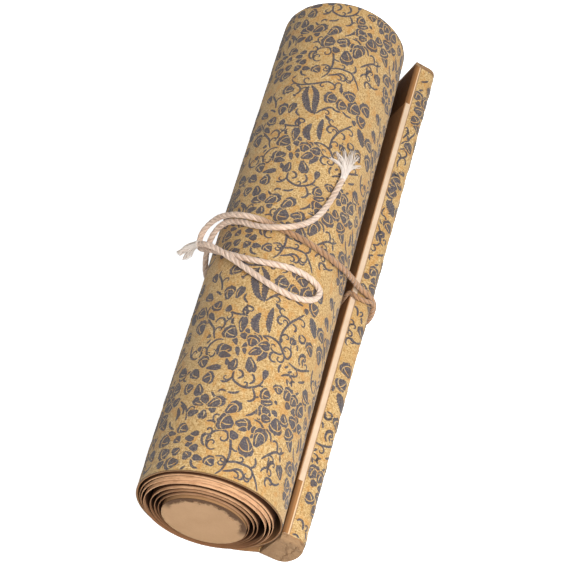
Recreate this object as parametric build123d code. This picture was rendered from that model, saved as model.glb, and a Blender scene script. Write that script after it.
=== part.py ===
"""A painted scroll, rolled on its rod and tied round the middle with a soft cotton cord.

Lengths are in millimetres. The roll lies along Y with its front end at -Y, and +Z is up. The table
is z = 0 and the origin is under the middle of the scroll. The shapes are worked out in the roll's
own frame, which has its origin on the roll's lowest line, and are moved to the part's frame last.
"""
from build123d import *
import math
import os

import numpy as np

# The sheet and the roll
SHEET_WIDTH = 300.0         # width of the sheet, and so the length of the roll
ROLL_RADIUS = 34.6          # outside of the cover
FLAT_SAG = 0.3              # how far the soft roll is pressed flat underneath
SHEET_THICKNESS = 0.32      # painted paper with its backing
CLOTH_THICKNESS = 0.4
LINING_THICKNESS = 0.3
PASTE = 0.05                # glue line between two layers
TURN_GAP = 0.15             # air between two pressed turns
TUCK_ANGLE = 5.0            # where the outermost turn starts to dive under, degrees above +X

# The rod on which the sheet is wound
ROLLER_RADIUS = 20.3
ROLLER_PROUD = 1.2          # how far it stands out at the front
END_PAPER = 0.3
TEAR_LENGTH = 4.5
TEAR_WIDTH = 0.7
TEAR_PLACES = [(5.1, 32.0, 140.0), (2.7, 96.0, 176.0), (2.5, 68.0, 150.0)]  # from the rim, place, turn

# The painted sheet's turns, each at its top: turn, share of the slack between rod and cover that it
# has grown by, share that it lies to the side, height of its lowest line in pressed turns, stand-out
OUTER_SLACK = 1.35          # from the last turn's middle to the lining
TURNS = [
    (0.0, 0.000, -0.208, 8.18, ROLLER_PROUD),
    (0.5, 0.100, -0.190, 7.13, 0.6),
    (1.5, 0.270, -0.160, 5.53, 0.8),
    (2.5, 0.400, -0.160, 4.15, 0.7),
    (3.5, 0.720, -0.085, 3.09, 2.3),
    (4.5, 0.830, -0.100, 2.02, 1.7),
    (5.5, 0.920, -0.075, 0.96, 0.3),
    (5.99, 1.000, -0.050, 0.00, 0.2),
]
LOWEST_TURN = 0.5           # from the lining's inner face below to the last turn's middle
STRETCHES_PER_TURN = 3
POINTS_PER_STRETCH = 5

# The stave at the sheet's outer end
STAVE_WIDTH = 22.6          # its flat side
STAVE_DEPTH = 14.4
STAVE_SHOULDER = 5.5        # radius of the two rounded shoulders
STAVE_CROWN = 22.0          # radius of the round side
STAVE_TILT = 63.0           # of the flat side, degrees from the table
STAVE_HEIGHT = 3.95         # of the flat side's lower corner at the front end
STAVE_GAP = 0.21            # from the lined flat side to the roll
STAVE_PROUD_FRONT = 0.2     # how far the wood's end faces stand out of the cover
STAVE_PROUD_BACK = 1.2
STAVE_OUT = 7.6             # how much further out and up the stave's back end lies
STAVE_RISE = 7.5
CAP_THICKNESS = 0.35        # paper folded over the stave's ends
CAP_LAP = 2.4
FOLD_WIDTH = 3.3            # lining folded over the stave's narrow edge
JUNCTION = 2.6              # where lining and cloth part, before the stave's foot
SPREAD = 1.4                # how far past the foot they lie on the wood
ARRIVAL = 1.6               # steepness of the flap at the foot, over that of its chord
HANDLE = 0.4                # of the flap's chord, for its S-curve

# The brown strips at both ends of the stave
BORDER_LENGTH = 28.0
BORDER_THICKNESS = 0.15
BORDER_WIDTH = 2.7          # across the narrow edge
BORDER_LOW = 2.6            # from the foot to where it starts, up the flat side

# The cord
CORD_DIAMETER = 3.2
PRESSED_THICKNESS = 1.0     # where the scroll lies on the cord
PRESSED_WIDTH = 5.0
PRESSED_RIGHT = (21.0, -12.0)
PRESSED_LEFT = (-14.5, -16.5)
PRESSED_GAP = 0.1           # between the pressed stretch and the round cord at its ends
HITCH_THICKNESS = 1.4       # of the small turn squeezed between roll and stave
HITCH_WIDTH = 4.6
HITCH_PLACE = -13.6
HITCH_DROP = 17.0
HITCH_REACH = 6.5
CORD_LEVEL = CORD_DIAMETER / 2 - PRESSED_THICKNESS

# Over the roll: from under the stave, over its edge and the roll, through the bow, to the left end
CORD_OVER = [
    (21.0, -12.0, CORD_LEVEL), (27.0, -11.24, CORD_LEVEL), (37.0, -9.6, 0.6), (46.0, -8.5, 3.6),
    (50.2, -8.0, 15.6), (49.8, -8.0, 25.2), (40.8, -8.3, 31.8), (37.6, -11.4, 42.6),
    (32.4, -14.8, 54.6), (23.0, -15.2, 64.2), (11.6, -13.8, 70.4), (0.4, -11.4, 71.6),
    (-9.4, -9.0, 73.2), (-20.6, -7.4, 71.6), (-29.8, -3.6, 63.4), (-36.6, -1.6, 54.0),
    (-41.8, -4.6, 46.0), (-40.6, -13.4, 45.6), (-35.0, -19.4, 54.4), (-25.6, -26.6, 64.4),
    (-13.6, -31.8, 70.0), (-1.0, -33.6, 72.0), (11.0, -32.4, 70.2), (20.8, -32.6, 65.4),
    (27.4, -35.6, 60.4), (26.0, -43.0, 61.8), (18.6, -47.8, 67.0), (7.0, -47.0, 71.4),
    (-5.6, -40.8, 72.0), (-17.4, -33.6, 70.0), (-27.6, -26.6, 67.0), (-36.6, -20.6, 60.6),
    (-42.0, -17.4, 52.6),
]
# Under the roll: up its left side, under the arch and along the top to the right end
CORD_UNDER = [
    (-14.5, -16.5, CORD_LEVEL), (-22.4, -17.5, CORD_LEVEL), (-32.0, -17.2, 9.4), (-37.6, -14.4, 23.0),
    (-38.4, -9.6, 36.0), (-35.8, -4.6, 47.4), (-29.6, -3.2, 57.6), (-20.6, -6.6, 65.2),
    (-10.8, -11.8, 70.2), (-1.4, -14.6, 75.5), (7.6, -11.2, 74.4), (14.6, -1.8, 68.2),
    (19.4, 10.6, 65.6), (22.2, 25.0, 63.8), (24.0, 39.5, 62.4),
]
# Frayed ends: place, half width, half depth
TUFT_LEFT = [(-42.0, -17.4, 52.6), (-45.3, -15.5, 47.7), (-49.6, -17.6, 43.0)]
TUFT_RIGHT = [(24.0, 39.5, 62.4), (24.6, 44.6, 62.5), (23.8, 51.5, 63.6)]
TUFT_SIZES = [(1.6, 1.6), (2.4, 1.6), (4.2, 1.7)]

LAYERS = CLOTH_THICKNESS + PASTE + LINING_THICKNESS
LINING_DEPTH = CLOTH_THICKNESS + PASTE
ROLL_CENTRE_Z = ROLL_RADIUS - FLAT_SAG
FLAT_HALF = math.sqrt(ROLL_RADIUS**2 - ROLL_CENTRE_Z**2)
DIVE = ROLL_RADIUS - ROLL_CENTRE_Z + LAYERS + TURN_GAP
FRONT = -SHEET_WIDTH / 2
BACK = SHEET_WIDTH / 2
STAVE_FRONT = FRONT - STAVE_PROUD_FRONT
STAVE_BACK = BACK + STAVE_PROUD_BACK
INNER_TURN = ROLLER_RADIUS + PASTE + SHEET_THICKNESS / 2
SLACK = ROLL_RADIUS - LAYERS - OUTER_SLACK - INNER_TURN
PRESSED_TURN = SHEET_THICKNESS + TURN_GAP


def turn_at(turn):
    """Radius, centre x, centre z and stand-out of the painted sheet at a turn."""
    grown, aside, height, proud = (np.interp(turn, [row[0] for row in TURNS], [row[k] for row in TURNS])
                                   for k in range(1, 5))
    radius = INNER_TURN + grown * SLACK
    return radius, aside * SLACK, radius + LAYERS + LOWEST_TURN + height * PRESSED_TURN, proud


ROLLER_CENTRE = turn_at(0.0)[1:3]


def line(start, end):
    return ("line", start, end)


def arc(start, middle, end):
    return ("arc", start, middle, end)


def spline(points, start_way, end_way):
    return ("spline", points, start_way, end_way)


def smooth_edge(points, start_way, end_way):
    """A smooth curve through points, with its first and last direction."""
    ways = [Vector(way).normalized() for way in (start_way, end_way)]
    return Edge.make_spline(points, tangents=ways, scale=False)


def to_edge(curve, y):
    """A curve of a cross-section, drawn in the plane at y."""
    kind, *data = curve
    if kind == "spline":
        points, start_way, end_way = data
        return smooth_edge([Vector(x, y, z) for x, z in points],
                           (start_way[0], 0, start_way[1]), (end_way[0], 0, end_way[1]))
    points = [Vector(x, y, z) for x, z in data]
    return Edge.make_line(*points) if kind == "line" else Edge.make_three_point_arc(*points)


def backwards(curve):
    """The same curve run the other way."""
    kind, *data = curve
    if kind == "spline":
        points, (ax, az), (bx, bz) = data
        return spline(points[::-1], (-bx, -bz), (-ax, -az))
    return (kind, *data[::-1])


def start_of(curve):
    return curve[1][0] if curve[0] == "spline" else curve[1]


def end_of(curve):
    return curve[1][-1] if curve[0] == "spline" else curve[-1]


def closed(outside, inside):
    """Outline of a strip between two rows of curves that run the same way."""
    back = [backwards(curve) for curve in reversed(inside)]
    return outside + [line(end_of(outside[-1]), start_of(back[0]))] + back + [
        line(end_of(back[-1]), start_of(outside[0]))]


def between(front_outline, front_y, back_outline, back_y):
    """Solid between two outlines made of the same curves, one at each end."""
    front = [to_edge(curve, front_y) for curve in front_outline]
    back = [to_edge(curve, back_y) for curve in back_outline]
    sides = [Face.make_surface_from_curves(a, b) for a, b in zip(front, back)]
    return Solid(Shell(sides + [Face(Wire(front)), Face(Wire(back))]))


def stave_foot(y):
    """The stave's foot at y. In front it lies against the roll, at the back further out and higher."""
    share = (y - STAVE_FRONT) / (STAVE_BACK - STAVE_FRONT)
    tilt = math.radians(STAVE_TILT)
    away = ROLL_RADIUS + LINING_THICKNESS + PASTE + STAVE_GAP
    foot_x = (away + math.cos(tilt) * (STAVE_HEIGHT - ROLL_CENTRE_Z)) / math.sin(tilt)
    return (foot_x + share * STAVE_OUT, STAVE_HEIGHT + share * STAVE_RISE)


ALONG = (math.cos(math.radians(STAVE_TILT)), math.sin(math.radians(STAVE_TILT)))
DEEP = (ALONG[1], -ALONG[0])


def on_stave(foot, along, deep):
    """Point of the stave's section, along its flat side from the foot and deep into the wood."""
    return (foot[0] + along * ALONG[0] + deep * DEEP[0], foot[1] + along * ALONG[1] + deep * DEEP[1])


def round_side(foot, offset, start, end):
    """Lower edge, shoulder, crown, shoulder and upper edge of the stave, at an offset from the wood."""
    middle = STAVE_WIDTH / 2
    crown_deep = STAVE_DEPTH - STAVE_CROWN
    reach = middle - STAVE_SHOULDER
    shoulder_deep = crown_deep + math.sqrt((STAVE_CROWN - STAVE_SHOULDER)**2 - reach**2)
    lean = math.atan2(reach, shoulder_deep - crown_deep)
    radius = STAVE_SHOULDER + offset

    def shoulder(side, angle):
        return on_stave(foot, middle + side * (reach + radius * math.sin(angle)),
                        shoulder_deep + radius * math.cos(angle))

    half = (math.pi / 2 + lean) / 2
    return [
        line(on_stave(foot, -offset, start), shoulder(-1, math.pi / 2)),
        arc(shoulder(-1, math.pi / 2), shoulder(-1, half), shoulder(-1, lean)),
        arc(shoulder(-1, lean), on_stave(foot, middle, STAVE_DEPTH + offset), shoulder(1, lean)),
        arc(shoulder(1, lean), shoulder(1, half), shoulder(1, math.pi / 2)),
        line(shoulder(1, math.pi / 2), on_stave(foot, STAVE_WIDTH + offset, end)),
    ]


def stave_outline(foot, offset):
    """The whole section of the stave, at an offset from the wood."""
    curves = round_side(foot, offset, -offset, -offset)
    return curves + [line(end_of(curves[-1]), start_of(curves[0]))]


def stave_prism(offset, front_y, back_y):
    """A length of the stave's section, leaning as the stave does."""
    return between(stave_outline(stave_foot(front_y), offset), front_y,
                   stave_outline(stave_foot(back_y), offset), back_y)


def fold_over_edge(foot, offset, low, width):
    """Up the flat side from low, round the upper corner and across the narrow edge."""
    corner = math.sqrt(0.5) * offset
    return [
        line(on_stave(foot, low, -offset), on_stave(foot, STAVE_WIDTH, -offset)),
        arc(on_stave(foot, STAVE_WIDTH, -offset), on_stave(foot, STAVE_WIDTH + corner, -corner),
            on_stave(foot, STAVE_WIDTH + offset, 0)),
        line(on_stave(foot, STAVE_WIDTH + offset, 0), on_stave(foot, STAVE_WIDTH + offset, width)),
    ]


def around_roll(radius, angle):
    """Point about the roll's axis, at an angle above +X in degrees."""
    turn = math.radians(angle)
    return (radius * math.cos(turn), ROLL_CENTRE_Z + radius * math.sin(turn))


def outer_turn(depth):
    """The outermost turn at a depth under its face: the end that dives under, the circle, the flat."""
    dive_points = []
    for angle in np.linspace(-90.0, TUCK_ANGLE, 10):
        share = (TUCK_ANGLE - angle) / (TUCK_ANGLE + 90.0)
        radius = ROLL_RADIUS - depth - DIVE * share**2 * (3 - 2 * share)
        dive_points.append(around_roll(radius, angle))
    tuck = math.radians(TUCK_ANGLE)
    radius = ROLL_RADIUS - depth
    flat_x = -math.sqrt(radius**2 - (ROLL_CENTRE_Z - depth)**2)
    flat_angle = 360 + math.degrees(math.atan2(depth - ROLL_CENTRE_Z, flat_x))
    return [
        spline(dive_points, (1, 0), (-math.sin(tuck), math.cos(tuck))),
        arc(dive_points[-1], around_roll(radius, (TUCK_ANGLE + flat_angle) / 2), (flat_x, depth)),
        line((flat_x, depth), (FLAT_HALF, depth)),
    ]


def flap(foot, depth):
    """The flap's S-curve from the roll's flat to just before the stave's foot, and its last way."""
    chord = math.atan2(foot[1] - LINING_DEPTH, foot[0] - FLAT_HALF)
    way = (math.cos(ARRIVAL * chord), math.sin(ARRIVAL * chord))
    start = np.array([FLAT_HALF, LINING_DEPTH])
    end = np.array(foot) - JUNCTION * np.array(way)
    handle = HANDLE * math.dist(start, end)
    controls = [start, start + (handle, 0), end - handle * np.array(way), end]
    points = []
    for t in np.linspace(0, 1, 6):
        weights = [(1 - t)**3, 3 * t * (1 - t)**2, 3 * t**2 * (1 - t), t**3]
        slopes = [-3 * (1 - t)**2, 3 * (1 - t)**2 - 6 * t * (1 - t), 6 * t * (1 - t) - 3 * t**2, 3 * t**2]
        place = sum(w * c for w, c in zip(weights, controls))
        slope = sum(w * c for w, c in zip(slopes, controls))
        normal = np.array([-slope[1], slope[0]]) / np.hypot(*slope)
        points.append(tuple(place + (depth - LINING_DEPTH) * normal))
    return spline(points, (1, 0), way), way


def cloth_line(foot, depth):
    """The cloth's path at a depth: outermost turn, flap, and round the stave to its narrow edge."""
    flap_curve, way = flap(foot, depth)
    offset = LINING_DEPTH - depth
    onto_wood = spline([end_of(flap_curve), on_stave(foot, -offset, SPREAD)], way, DEEP)
    return outer_turn(depth) + [flap_curve, onto_wood] + round_side(
        foot, offset, SPREAD, FOLD_WIDTH + 2 * PASTE)


def lining_line(foot, depth):
    """The lining's path at a depth: outermost turn, flap, up the flat side and over the edge."""
    flap_curve, way = flap(foot, depth)
    offset = PASTE + depth - LINING_DEPTH
    onto_wood = spline([end_of(flap_curve), on_stave(foot, SPREAD + offset, -offset)], way, ALONG)
    return outer_turn(depth) + [flap_curve, onto_wood] + fold_over_edge(
        foot, offset, SPREAD + offset, FOLD_WIDTH)


def cover_layer(path, outer_depth, inner_depth):
    """One layer of the cover, cut back where the paper caps hold the stave's ends."""
    outlines = [closed(path(stave_foot(y), outer_depth), path(stave_foot(y), inner_depth))
                for y in (FRONT, BACK)]
    layer = between(outlines[0], FRONT, outlines[1], BACK)
    clear = LAYERS + 2 * TURN_GAP
    front_trim = stave_prism(clear, FRONT - 1, STAVE_FRONT + CAP_LAP + PASTE)
    back_trim = stave_prism(clear, STAVE_BACK - CAP_LAP - PASTE, STAVE_BACK + 1)
    return layer - front_trim - back_trim


def painted_sheet():
    """The sheet's six inner turns: pressed together below, slack above, telescoped at the ends."""
    def place(turn, offset, end_y):
        radius, centre_x, centre_z, proud = turn_at(turn)
        angle = 2 * math.pi * turn - math.pi / 2
        reach = radius + offset
        return Vector(centre_x + reach * math.cos(angle), end_y - proud, centre_z + reach * math.sin(angle))

    def edge(first, last, offset, end_y):
        turns = np.linspace(first, last, POINTS_PER_STRETCH + 1)
        step = 0.01
        ways = [place(turn + step, offset, end_y) - place(turn - step, offset, end_y)
                for turn in (first, last)]
        return smooth_edge([place(turn, offset, end_y) for turn in turns], *ways)

    half = SHEET_THICKNESS / 2
    layout = [(half, FRONT), (half, BACK), (-half, BACK), (-half, FRONT)]
    last_turn = TURNS[-1][0]
    marks = np.linspace(0, last_turn, round(last_turn * STRETCHES_PER_TURN) + 1)
    faces = []
    for first, last in zip(marks, marks[1:]):
        edges = [edge(first, last, offset, end_y) for offset, end_y in layout]
        faces += [Face.make_surface_from_curves(a, b) for a, b in zip(edges, edges[1:] + edges[:1])]
    for turn in (marks[0], marks[-1]):
        faces.append(Face(Wire.make_polygon([place(turn, *corner) for corner in layout])))
    return Solid(Shell(faces))


def lying_cylinder(radius, front_y, length):
    """A round rod or disc on the roller's axis."""
    plane = Plane(origin=(ROLLER_CENTRE[0], front_y, ROLLER_CENTRE[1]), x_dir=(1, 0, 0), z_dir=(0, 1, 0))
    return extrude(plane * Circle(radius), amount=length)


def roller_end(front_y, torn):
    """The round paper pasted over an end of the rod. The front one has small tears near its rim."""
    paper = lying_cylinder(ROLLER_RADIUS, front_y, END_PAPER)
    if torn:
        for from_rim, angle, turn in TEAR_PLACES:
            reach = ROLLER_RADIUS - from_rim
            place = Pos(ROLLER_CENTRE[0] + reach * math.cos(math.radians(angle)), front_y,
                        ROLLER_CENTRE[1] + reach * math.sin(math.radians(angle)))
            paper -= place * Rot(0, -turn, 0) * Box(TEAR_LENGTH, 3 * END_PAPER, TEAR_WIDTH)
    return paper


def stave_end(wood_y, way):
    """The paper folded over an end of the stave: an end face and a short lap on the sides."""
    outer_y = wood_y - way * (CAP_THICKNESS + PASTE)
    lap_y = wood_y + way * CAP_LAP
    inner_y = wood_y - way * PASTE
    outside = stave_prism(CAP_THICKNESS + PASTE, min(outer_y, lap_y), max(outer_y, lap_y))
    past_lap = lap_y + way
    inside = stave_prism(PASTE, min(inner_y, past_lap), max(inner_y, past_lap))
    return outside - inside


def border(front_y, back_y):
    """A brown strip over the lining, across the narrow edge and down the flat side."""
    inner = LINING_THICKNESS + 2 * PASTE
    outer = inner + BORDER_THICKNESS
    outlines = [closed(fold_over_edge(stave_foot(y), outer, BORDER_LOW, BORDER_WIDTH),
                       fold_over_edge(stave_foot(y), inner, BORDER_LOW, BORDER_WIDTH))
                for y in (front_y, back_y)]
    return between(outlines[0], front_y, outlines[1], back_y)


def hitch():
    """The cord's small turn on the stave, pressed flat between roll and stave."""
    inner = LAYERS
    outer = inner + HITCH_THICKNESS
    low = STAVE_WIDTH - HITCH_DROP
    ends = (HITCH_PLACE - HITCH_WIDTH / 2, HITCH_PLACE + HITCH_WIDTH / 2)
    outlines = [closed(fold_over_edge(stave_foot(y), outer, low, HITCH_REACH),
                       fold_over_edge(stave_foot(y), inner, low, HITCH_REACH)) for y in ends]
    return between(outlines[0], ends[0], outlines[1], ends[1])


def bend_radii(points):
    """The radius of each bend: 0.45 of the shorter run, over the tangent of half the turn."""
    places = [Vector(*point) for point in points]
    radii = []
    for before, here, after in zip(places, places[1:], places[2:]):
        turn = (here - before).get_angle(after - here)
        shorter = min((here - before).length, (after - here).length)
        radii.append(0.45 * shorter / math.tan(math.radians(turn) / 2))
    return radii


def cord(name, points):
    """A round cord along straight runs joined by tangent arcs."""
    radii = bend_radii(points)
    path = FilletPolyline(*points, radius=radii)
    section = Plane(origin=path @ 0, z_dir=path % 0) * Circle(CORD_DIAMETER / 2)
    tube = sweep(section, path=path)
    expected = math.pi * CORD_DIAMETER**2 / 4 * path.length
    print(name, "length", round(path.length, 1), "volume ratio", round(tube.volume / expected, 4),
          "radii", [round(radius, 1) for radius in radii])
    return tube


def pressed_stretch():
    """The cord squeezed flat where the roll lies on it."""
    right = Vector(*PRESSED_RIGHT, -PRESSED_THICKNESS / 2)
    left = Vector(*PRESSED_LEFT, -PRESSED_THICKNESS / 2)
    way = left - right
    plane = Plane(origin=right + PRESSED_GAP * way.normalized(), x_dir=way.cross(Vector(0, 0, 1)), z_dir=way)
    return extrude(plane * SlotOverall(PRESSED_WIDTH, PRESSED_THICKNESS), amount=way.length - 2 * PRESSED_GAP)


def tuft(points, last_run):
    """A frayed cord end as a plain flattened cone that lies along the roll."""
    places = [Vector(*point) for point in points]
    ways = [last_run, places[2] - places[0], places[2] - places[1]]
    sections = []
    for place, way, size in zip(places, ways, TUFT_SIZES):
        outwards = Vector(place.X, 0, place.Z - ROLL_CENTRE_Z)
        sections.append(Plane(origin=place, x_dir=outwards.cross(way), z_dir=way) * Ellipse(*size))
    return loft(sections, ruled=True)


def build():
    """Every piece in the roll's frame, by name."""
    rod_front = FRONT - ROLLER_PROUD
    border_front = STAVE_FRONT + CAP_LAP + 2 * PASTE
    border_back = STAVE_BACK - CAP_LAP - 2 * PASTE
    return {
        "roller": lying_cylinder(ROLLER_RADIUS, rod_front, SHEET_WIDTH),
        "roller_end_front": roller_end(rod_front - END_PAPER, True),
        "roller_end_back": roller_end(rod_front + SHEET_WIDTH, False),
        "painted_sheet": painted_sheet(),
        "lining_paper": cover_layer(lining_line, LINING_DEPTH, LAYERS),
        "cover_cloth": cover_layer(cloth_line, 0, CLOTH_THICKNESS),
        "stave": stave_prism(0, STAVE_FRONT, STAVE_BACK),
        "stave_end_front": stave_end(STAVE_FRONT, 1),
        "stave_end_back": stave_end(STAVE_BACK, -1),
        "border_front": border(border_front, border_front + BORDER_LENGTH),
        "border_back": border(border_back - BORDER_LENGTH, border_back),
        "cord_pressed": pressed_stretch(),
        "cord_hitch": hitch(),
        "cord_over": cord("cord_over", CORD_OVER),
        "cord_under": cord("cord_under", CORD_UNDER),
        "frayed_end_left": tuft(TUFT_LEFT, Vector(*CORD_OVER[-1]) - Vector(*CORD_OVER[-2])),
        "frayed_end_right": tuft(TUFT_RIGHT, Vector(*CORD_UNDER[-1]) - Vector(*CORD_UNDER[-2])),
    }


if __name__ == "__main__":
    os.makedirs("parts", exist_ok=True)
    pieces = build()
    # The origin is under the middle of the scroll itself, without the free cord.
    cover = pieces["cover_cloth"].bounding_box()
    front_y = FRONT - max(turn[-1] for turn in TURNS)
    back_y = STAVE_BACK + CAP_THICKNESS + PASTE
    place = Pos(-cover.center().X, -(front_y + back_y) / 2, PRESSED_THICKNESS)
    print("moved by", place.position)
    for name, piece in pieces.items():
        export_step(place * piece, f"parts/{name}.step")
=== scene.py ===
"""A painted scroll, rolled on its rod and tied with a soft cotton cord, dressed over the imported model.

Sizes are in millimetres in the roll's own frame, which has its origin on the roll's lowest line with
the front end at -Y. They are shifted to the model's frame and turned into metres when a mesh is made.
"""
from __future__ import annotations

import logging
import math
from dataclasses import dataclass, field, replace
from enum import Enum

import bpy
import numpy as np
from mathutils import Matrix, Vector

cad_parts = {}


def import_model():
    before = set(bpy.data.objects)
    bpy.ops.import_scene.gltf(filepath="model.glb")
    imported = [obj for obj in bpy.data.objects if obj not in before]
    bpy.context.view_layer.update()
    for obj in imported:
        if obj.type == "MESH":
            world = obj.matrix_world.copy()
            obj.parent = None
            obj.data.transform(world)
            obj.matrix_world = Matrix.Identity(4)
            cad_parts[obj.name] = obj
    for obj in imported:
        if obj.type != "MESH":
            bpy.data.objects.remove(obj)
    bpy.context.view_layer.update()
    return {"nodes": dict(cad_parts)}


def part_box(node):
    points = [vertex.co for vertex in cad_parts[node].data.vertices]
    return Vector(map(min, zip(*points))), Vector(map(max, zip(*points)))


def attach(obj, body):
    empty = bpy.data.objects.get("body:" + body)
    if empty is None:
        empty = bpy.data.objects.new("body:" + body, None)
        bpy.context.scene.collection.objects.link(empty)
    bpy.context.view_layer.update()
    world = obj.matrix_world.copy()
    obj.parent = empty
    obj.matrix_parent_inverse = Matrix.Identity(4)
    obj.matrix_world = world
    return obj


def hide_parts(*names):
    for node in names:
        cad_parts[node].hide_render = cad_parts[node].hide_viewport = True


logging.basicConfig(level=logging.INFO, format="%(levelname)s %(name)s: %(message)s")
LOG = logging.getLogger("painted_scroll")

Array = np.ndarray
Place = tuple[float, float]
Point = tuple[float, float, float]
Route = tuple[Point, ...]
Colour = tuple[float, float, float]
Grids = list[tuple[Array, float]]
Socket = bpy.types.NodeSocket
Material = bpy.types.Material

# From the roll's frame to the model's, and the number of strands that the cord is twisted from
SHIFT = np.array([-8.82, 0.35, 1.0])
STRANDS = 3


class Slot(str, Enum):
    """Names of the record's material slots, handed to new pieces, which do not use them."""

    CLOTH = "cover_cloth"
    CAP = "cap_paper"
    CORD = "cord_cotton"


def to_metres(points: Array) -> Array:
    """Shift points from the roll's frame to the model's, and turn millimetres into metres."""
    return (np.asarray(points, float) + SHIFT) * 0.001


def unit(vectors: Array) -> Array:
    """Scale vectors to length one along their last axis."""
    return vectors / np.maximum(np.linalg.norm(vectors, axis=-1, keepdims=True), 1e-12)


def distances(line: Array) -> Array:
    """Lengths along a line, from its first point to each of its points."""
    return np.concatenate([[0.0], np.cumsum(np.linalg.norm(np.diff(line, axis=0), axis=1))])


def read_line(marks: Array, scale: Array, points: Array) -> Array:
    """Read a line's points at marks that lie between the numbers of a scale.

    Args:
        marks: Where to read, in any shape.
        scale: One rising number for each of the line's points.
        points: The line's points.

    Returns:
        The points read, with the marks' shape and a last axis of coordinates.
    """
    return np.stack([np.interp(marks, scale, column) for column in points.T], -1)


def even(points: Array, step: float, least: int = 2) -> Array:
    """Points at even steps along a line.

    Args:
        points: The line's points.
        step: About the distance between two new points.
        least: The smallest number of new points.

    Returns:
        The new points, ends included.
    """
    far = distances(points)
    return read_line(np.linspace(0.0, far[-1], max(least, round(far[-1] / step) + 1)), far, points)


def smooth(points: Array, step: float) -> Array:
    """A Catmull-Rom line through points, at even steps.

    Args:
        points: The points, in any number of dimensions.
        step: About the distance between two new points.

    Returns:
        The new points, ends included.
    """
    if len(points) == 2:
        return even(points, step, 3)
    padded = np.concatenate([[2 * points[0] - points[1]], points, [2 * points[-1] - points[-2]]])
    t = np.linspace(0, 1, 9)[:-1, None]
    a, b, c, d = (padded[k:len(padded) - 3 + k, None] for k in range(4))
    rough = 0.5 * (2 * b + (c - a) * t + (2 * a - 5 * b + 4 * c - d) * t**2
                   + (3 * b - a - 3 * c + d) * t**3)
    return even(np.concatenate([rough.reshape(-1, points.shape[1]), points[-1:]]), step, 3)


def rings(line: Array, side: Array, up: Array, wide: Array, high: Array, angle: Array) -> Array:
    """Points of rings round a line: the line plus wide cos(angle) sideways and high sin(angle) upwards.

    Args:
        line: Points of the line, or of many lines.
        side: Direction sideways at each point.
        up: Direction upwards at each point.
        wide: Half width at each point and angle.
        high: Half height at each point and angle.
        angle: Angles round the line.

    Returns:
        The points, with an axis for the angles before the last.
    """
    return (line[..., None, :] + (wide * np.cos(angle))[..., None] * side[..., None, :]
            + (high * np.sin(angle))[..., None] * up[..., None, :])


def grid_faces(rows: int, columns: int, first: int = 0, closed: bool = False) -> Array:
    """Quads of a grid of vertices that are numbered row by row.

    Args:
        rows: Number of rows of vertices.
        columns: Number of vertices in a row.
        first: Number of the grid's first vertex.
        closed: Join the last column to the first.

    Returns:
        Array of four vertex numbers for each face.
    """
    i, j = np.meshgrid(np.arange(rows - 1), np.arange(columns if closed else columns - 1), indexing="ij")
    over = (j + 1) % columns
    quads = np.stack([i * columns + j, (i + 1) * columns + j, (i + 1) * columns + over,
                      i * columns + over], -1)
    return quads.reshape(-1, 4) + first


def add_object(name: str, data: bpy.types.ID) -> bpy.types.Object:
    """Make an object and put it in the scene.

    Args:
        name: Its name.
        data: Its mesh, curve, lamp or camera.

    Returns:
        The object.
    """
    made = bpy.data.objects.new(name, data)
    bpy.context.scene.collection.objects.link(made)
    return made


class Piece:
    """One mesh of the dressed object, made from whole arrays."""

    def __init__(self, name: str, points: Array, faces: Array, finish: Material, slot: Slot) -> None:
        """Make the mesh and hang it on the object's only body.

        Args:
            name: Name of the piece.
            points: Vertices in millimetres, in the roll's frame.
            faces: Faces as vertex numbers.
            finish: Its material.
            slot: The record's slot it stands for; not used.
        """
        mesh = bpy.data.meshes.new(name)
        mesh.from_pydata(to_metres(points.reshape(-1, 3)), [], faces.tolist())
        mesh.validate()
        mesh.materials.append(finish)
        mesh.shade_smooth()
        self.object = add_object(name, mesh)
        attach(self.object, "root")
        LOG.info("piece %s: %d vertices, %d faces", name, len(mesh.vertices), len(mesh.polygons))

    def vertex_uv(self, name: str, values: Array) -> Piece:
        """Give every vertex a place on the pattern, kept as a UV map.

        Args:
            name: Name of the UV map.
            values: Two numbers for each vertex.

        Returns:
            The piece.
        """
        mesh = self.object.data
        layer = mesh.uv_layers.new(name=name)
        corners = np.empty(len(mesh.loops), np.int32)
        mesh.loops.foreach_get("vertex_index", corners)
        layer.data.foreach_set("uv", values.reshape(-1, 2)[corners].astype(np.float32).ravel())
        return self

    def vertex_vector(self, name: str, values: Array) -> Piece:
        """Give every vertex three numbers that its material reads.

        Args:
            name: Name of the attribute.
            values: Three numbers for each vertex.

        Returns:
            The piece.
        """
        layer = self.object.data.attributes.new(name=name, type="FLOAT_VECTOR", domain="POINT")
        layer.data.foreach_set("vector", values.reshape(-1).astype(np.float32))
        return self

    def sharp(self, degrees: float) -> Piece:
        """Keep edges crisp where faces meet at more than an angle in degrees."""
        self.object.data.set_sharp_from_angle(angle=math.radians(degrees))
        return self


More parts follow.
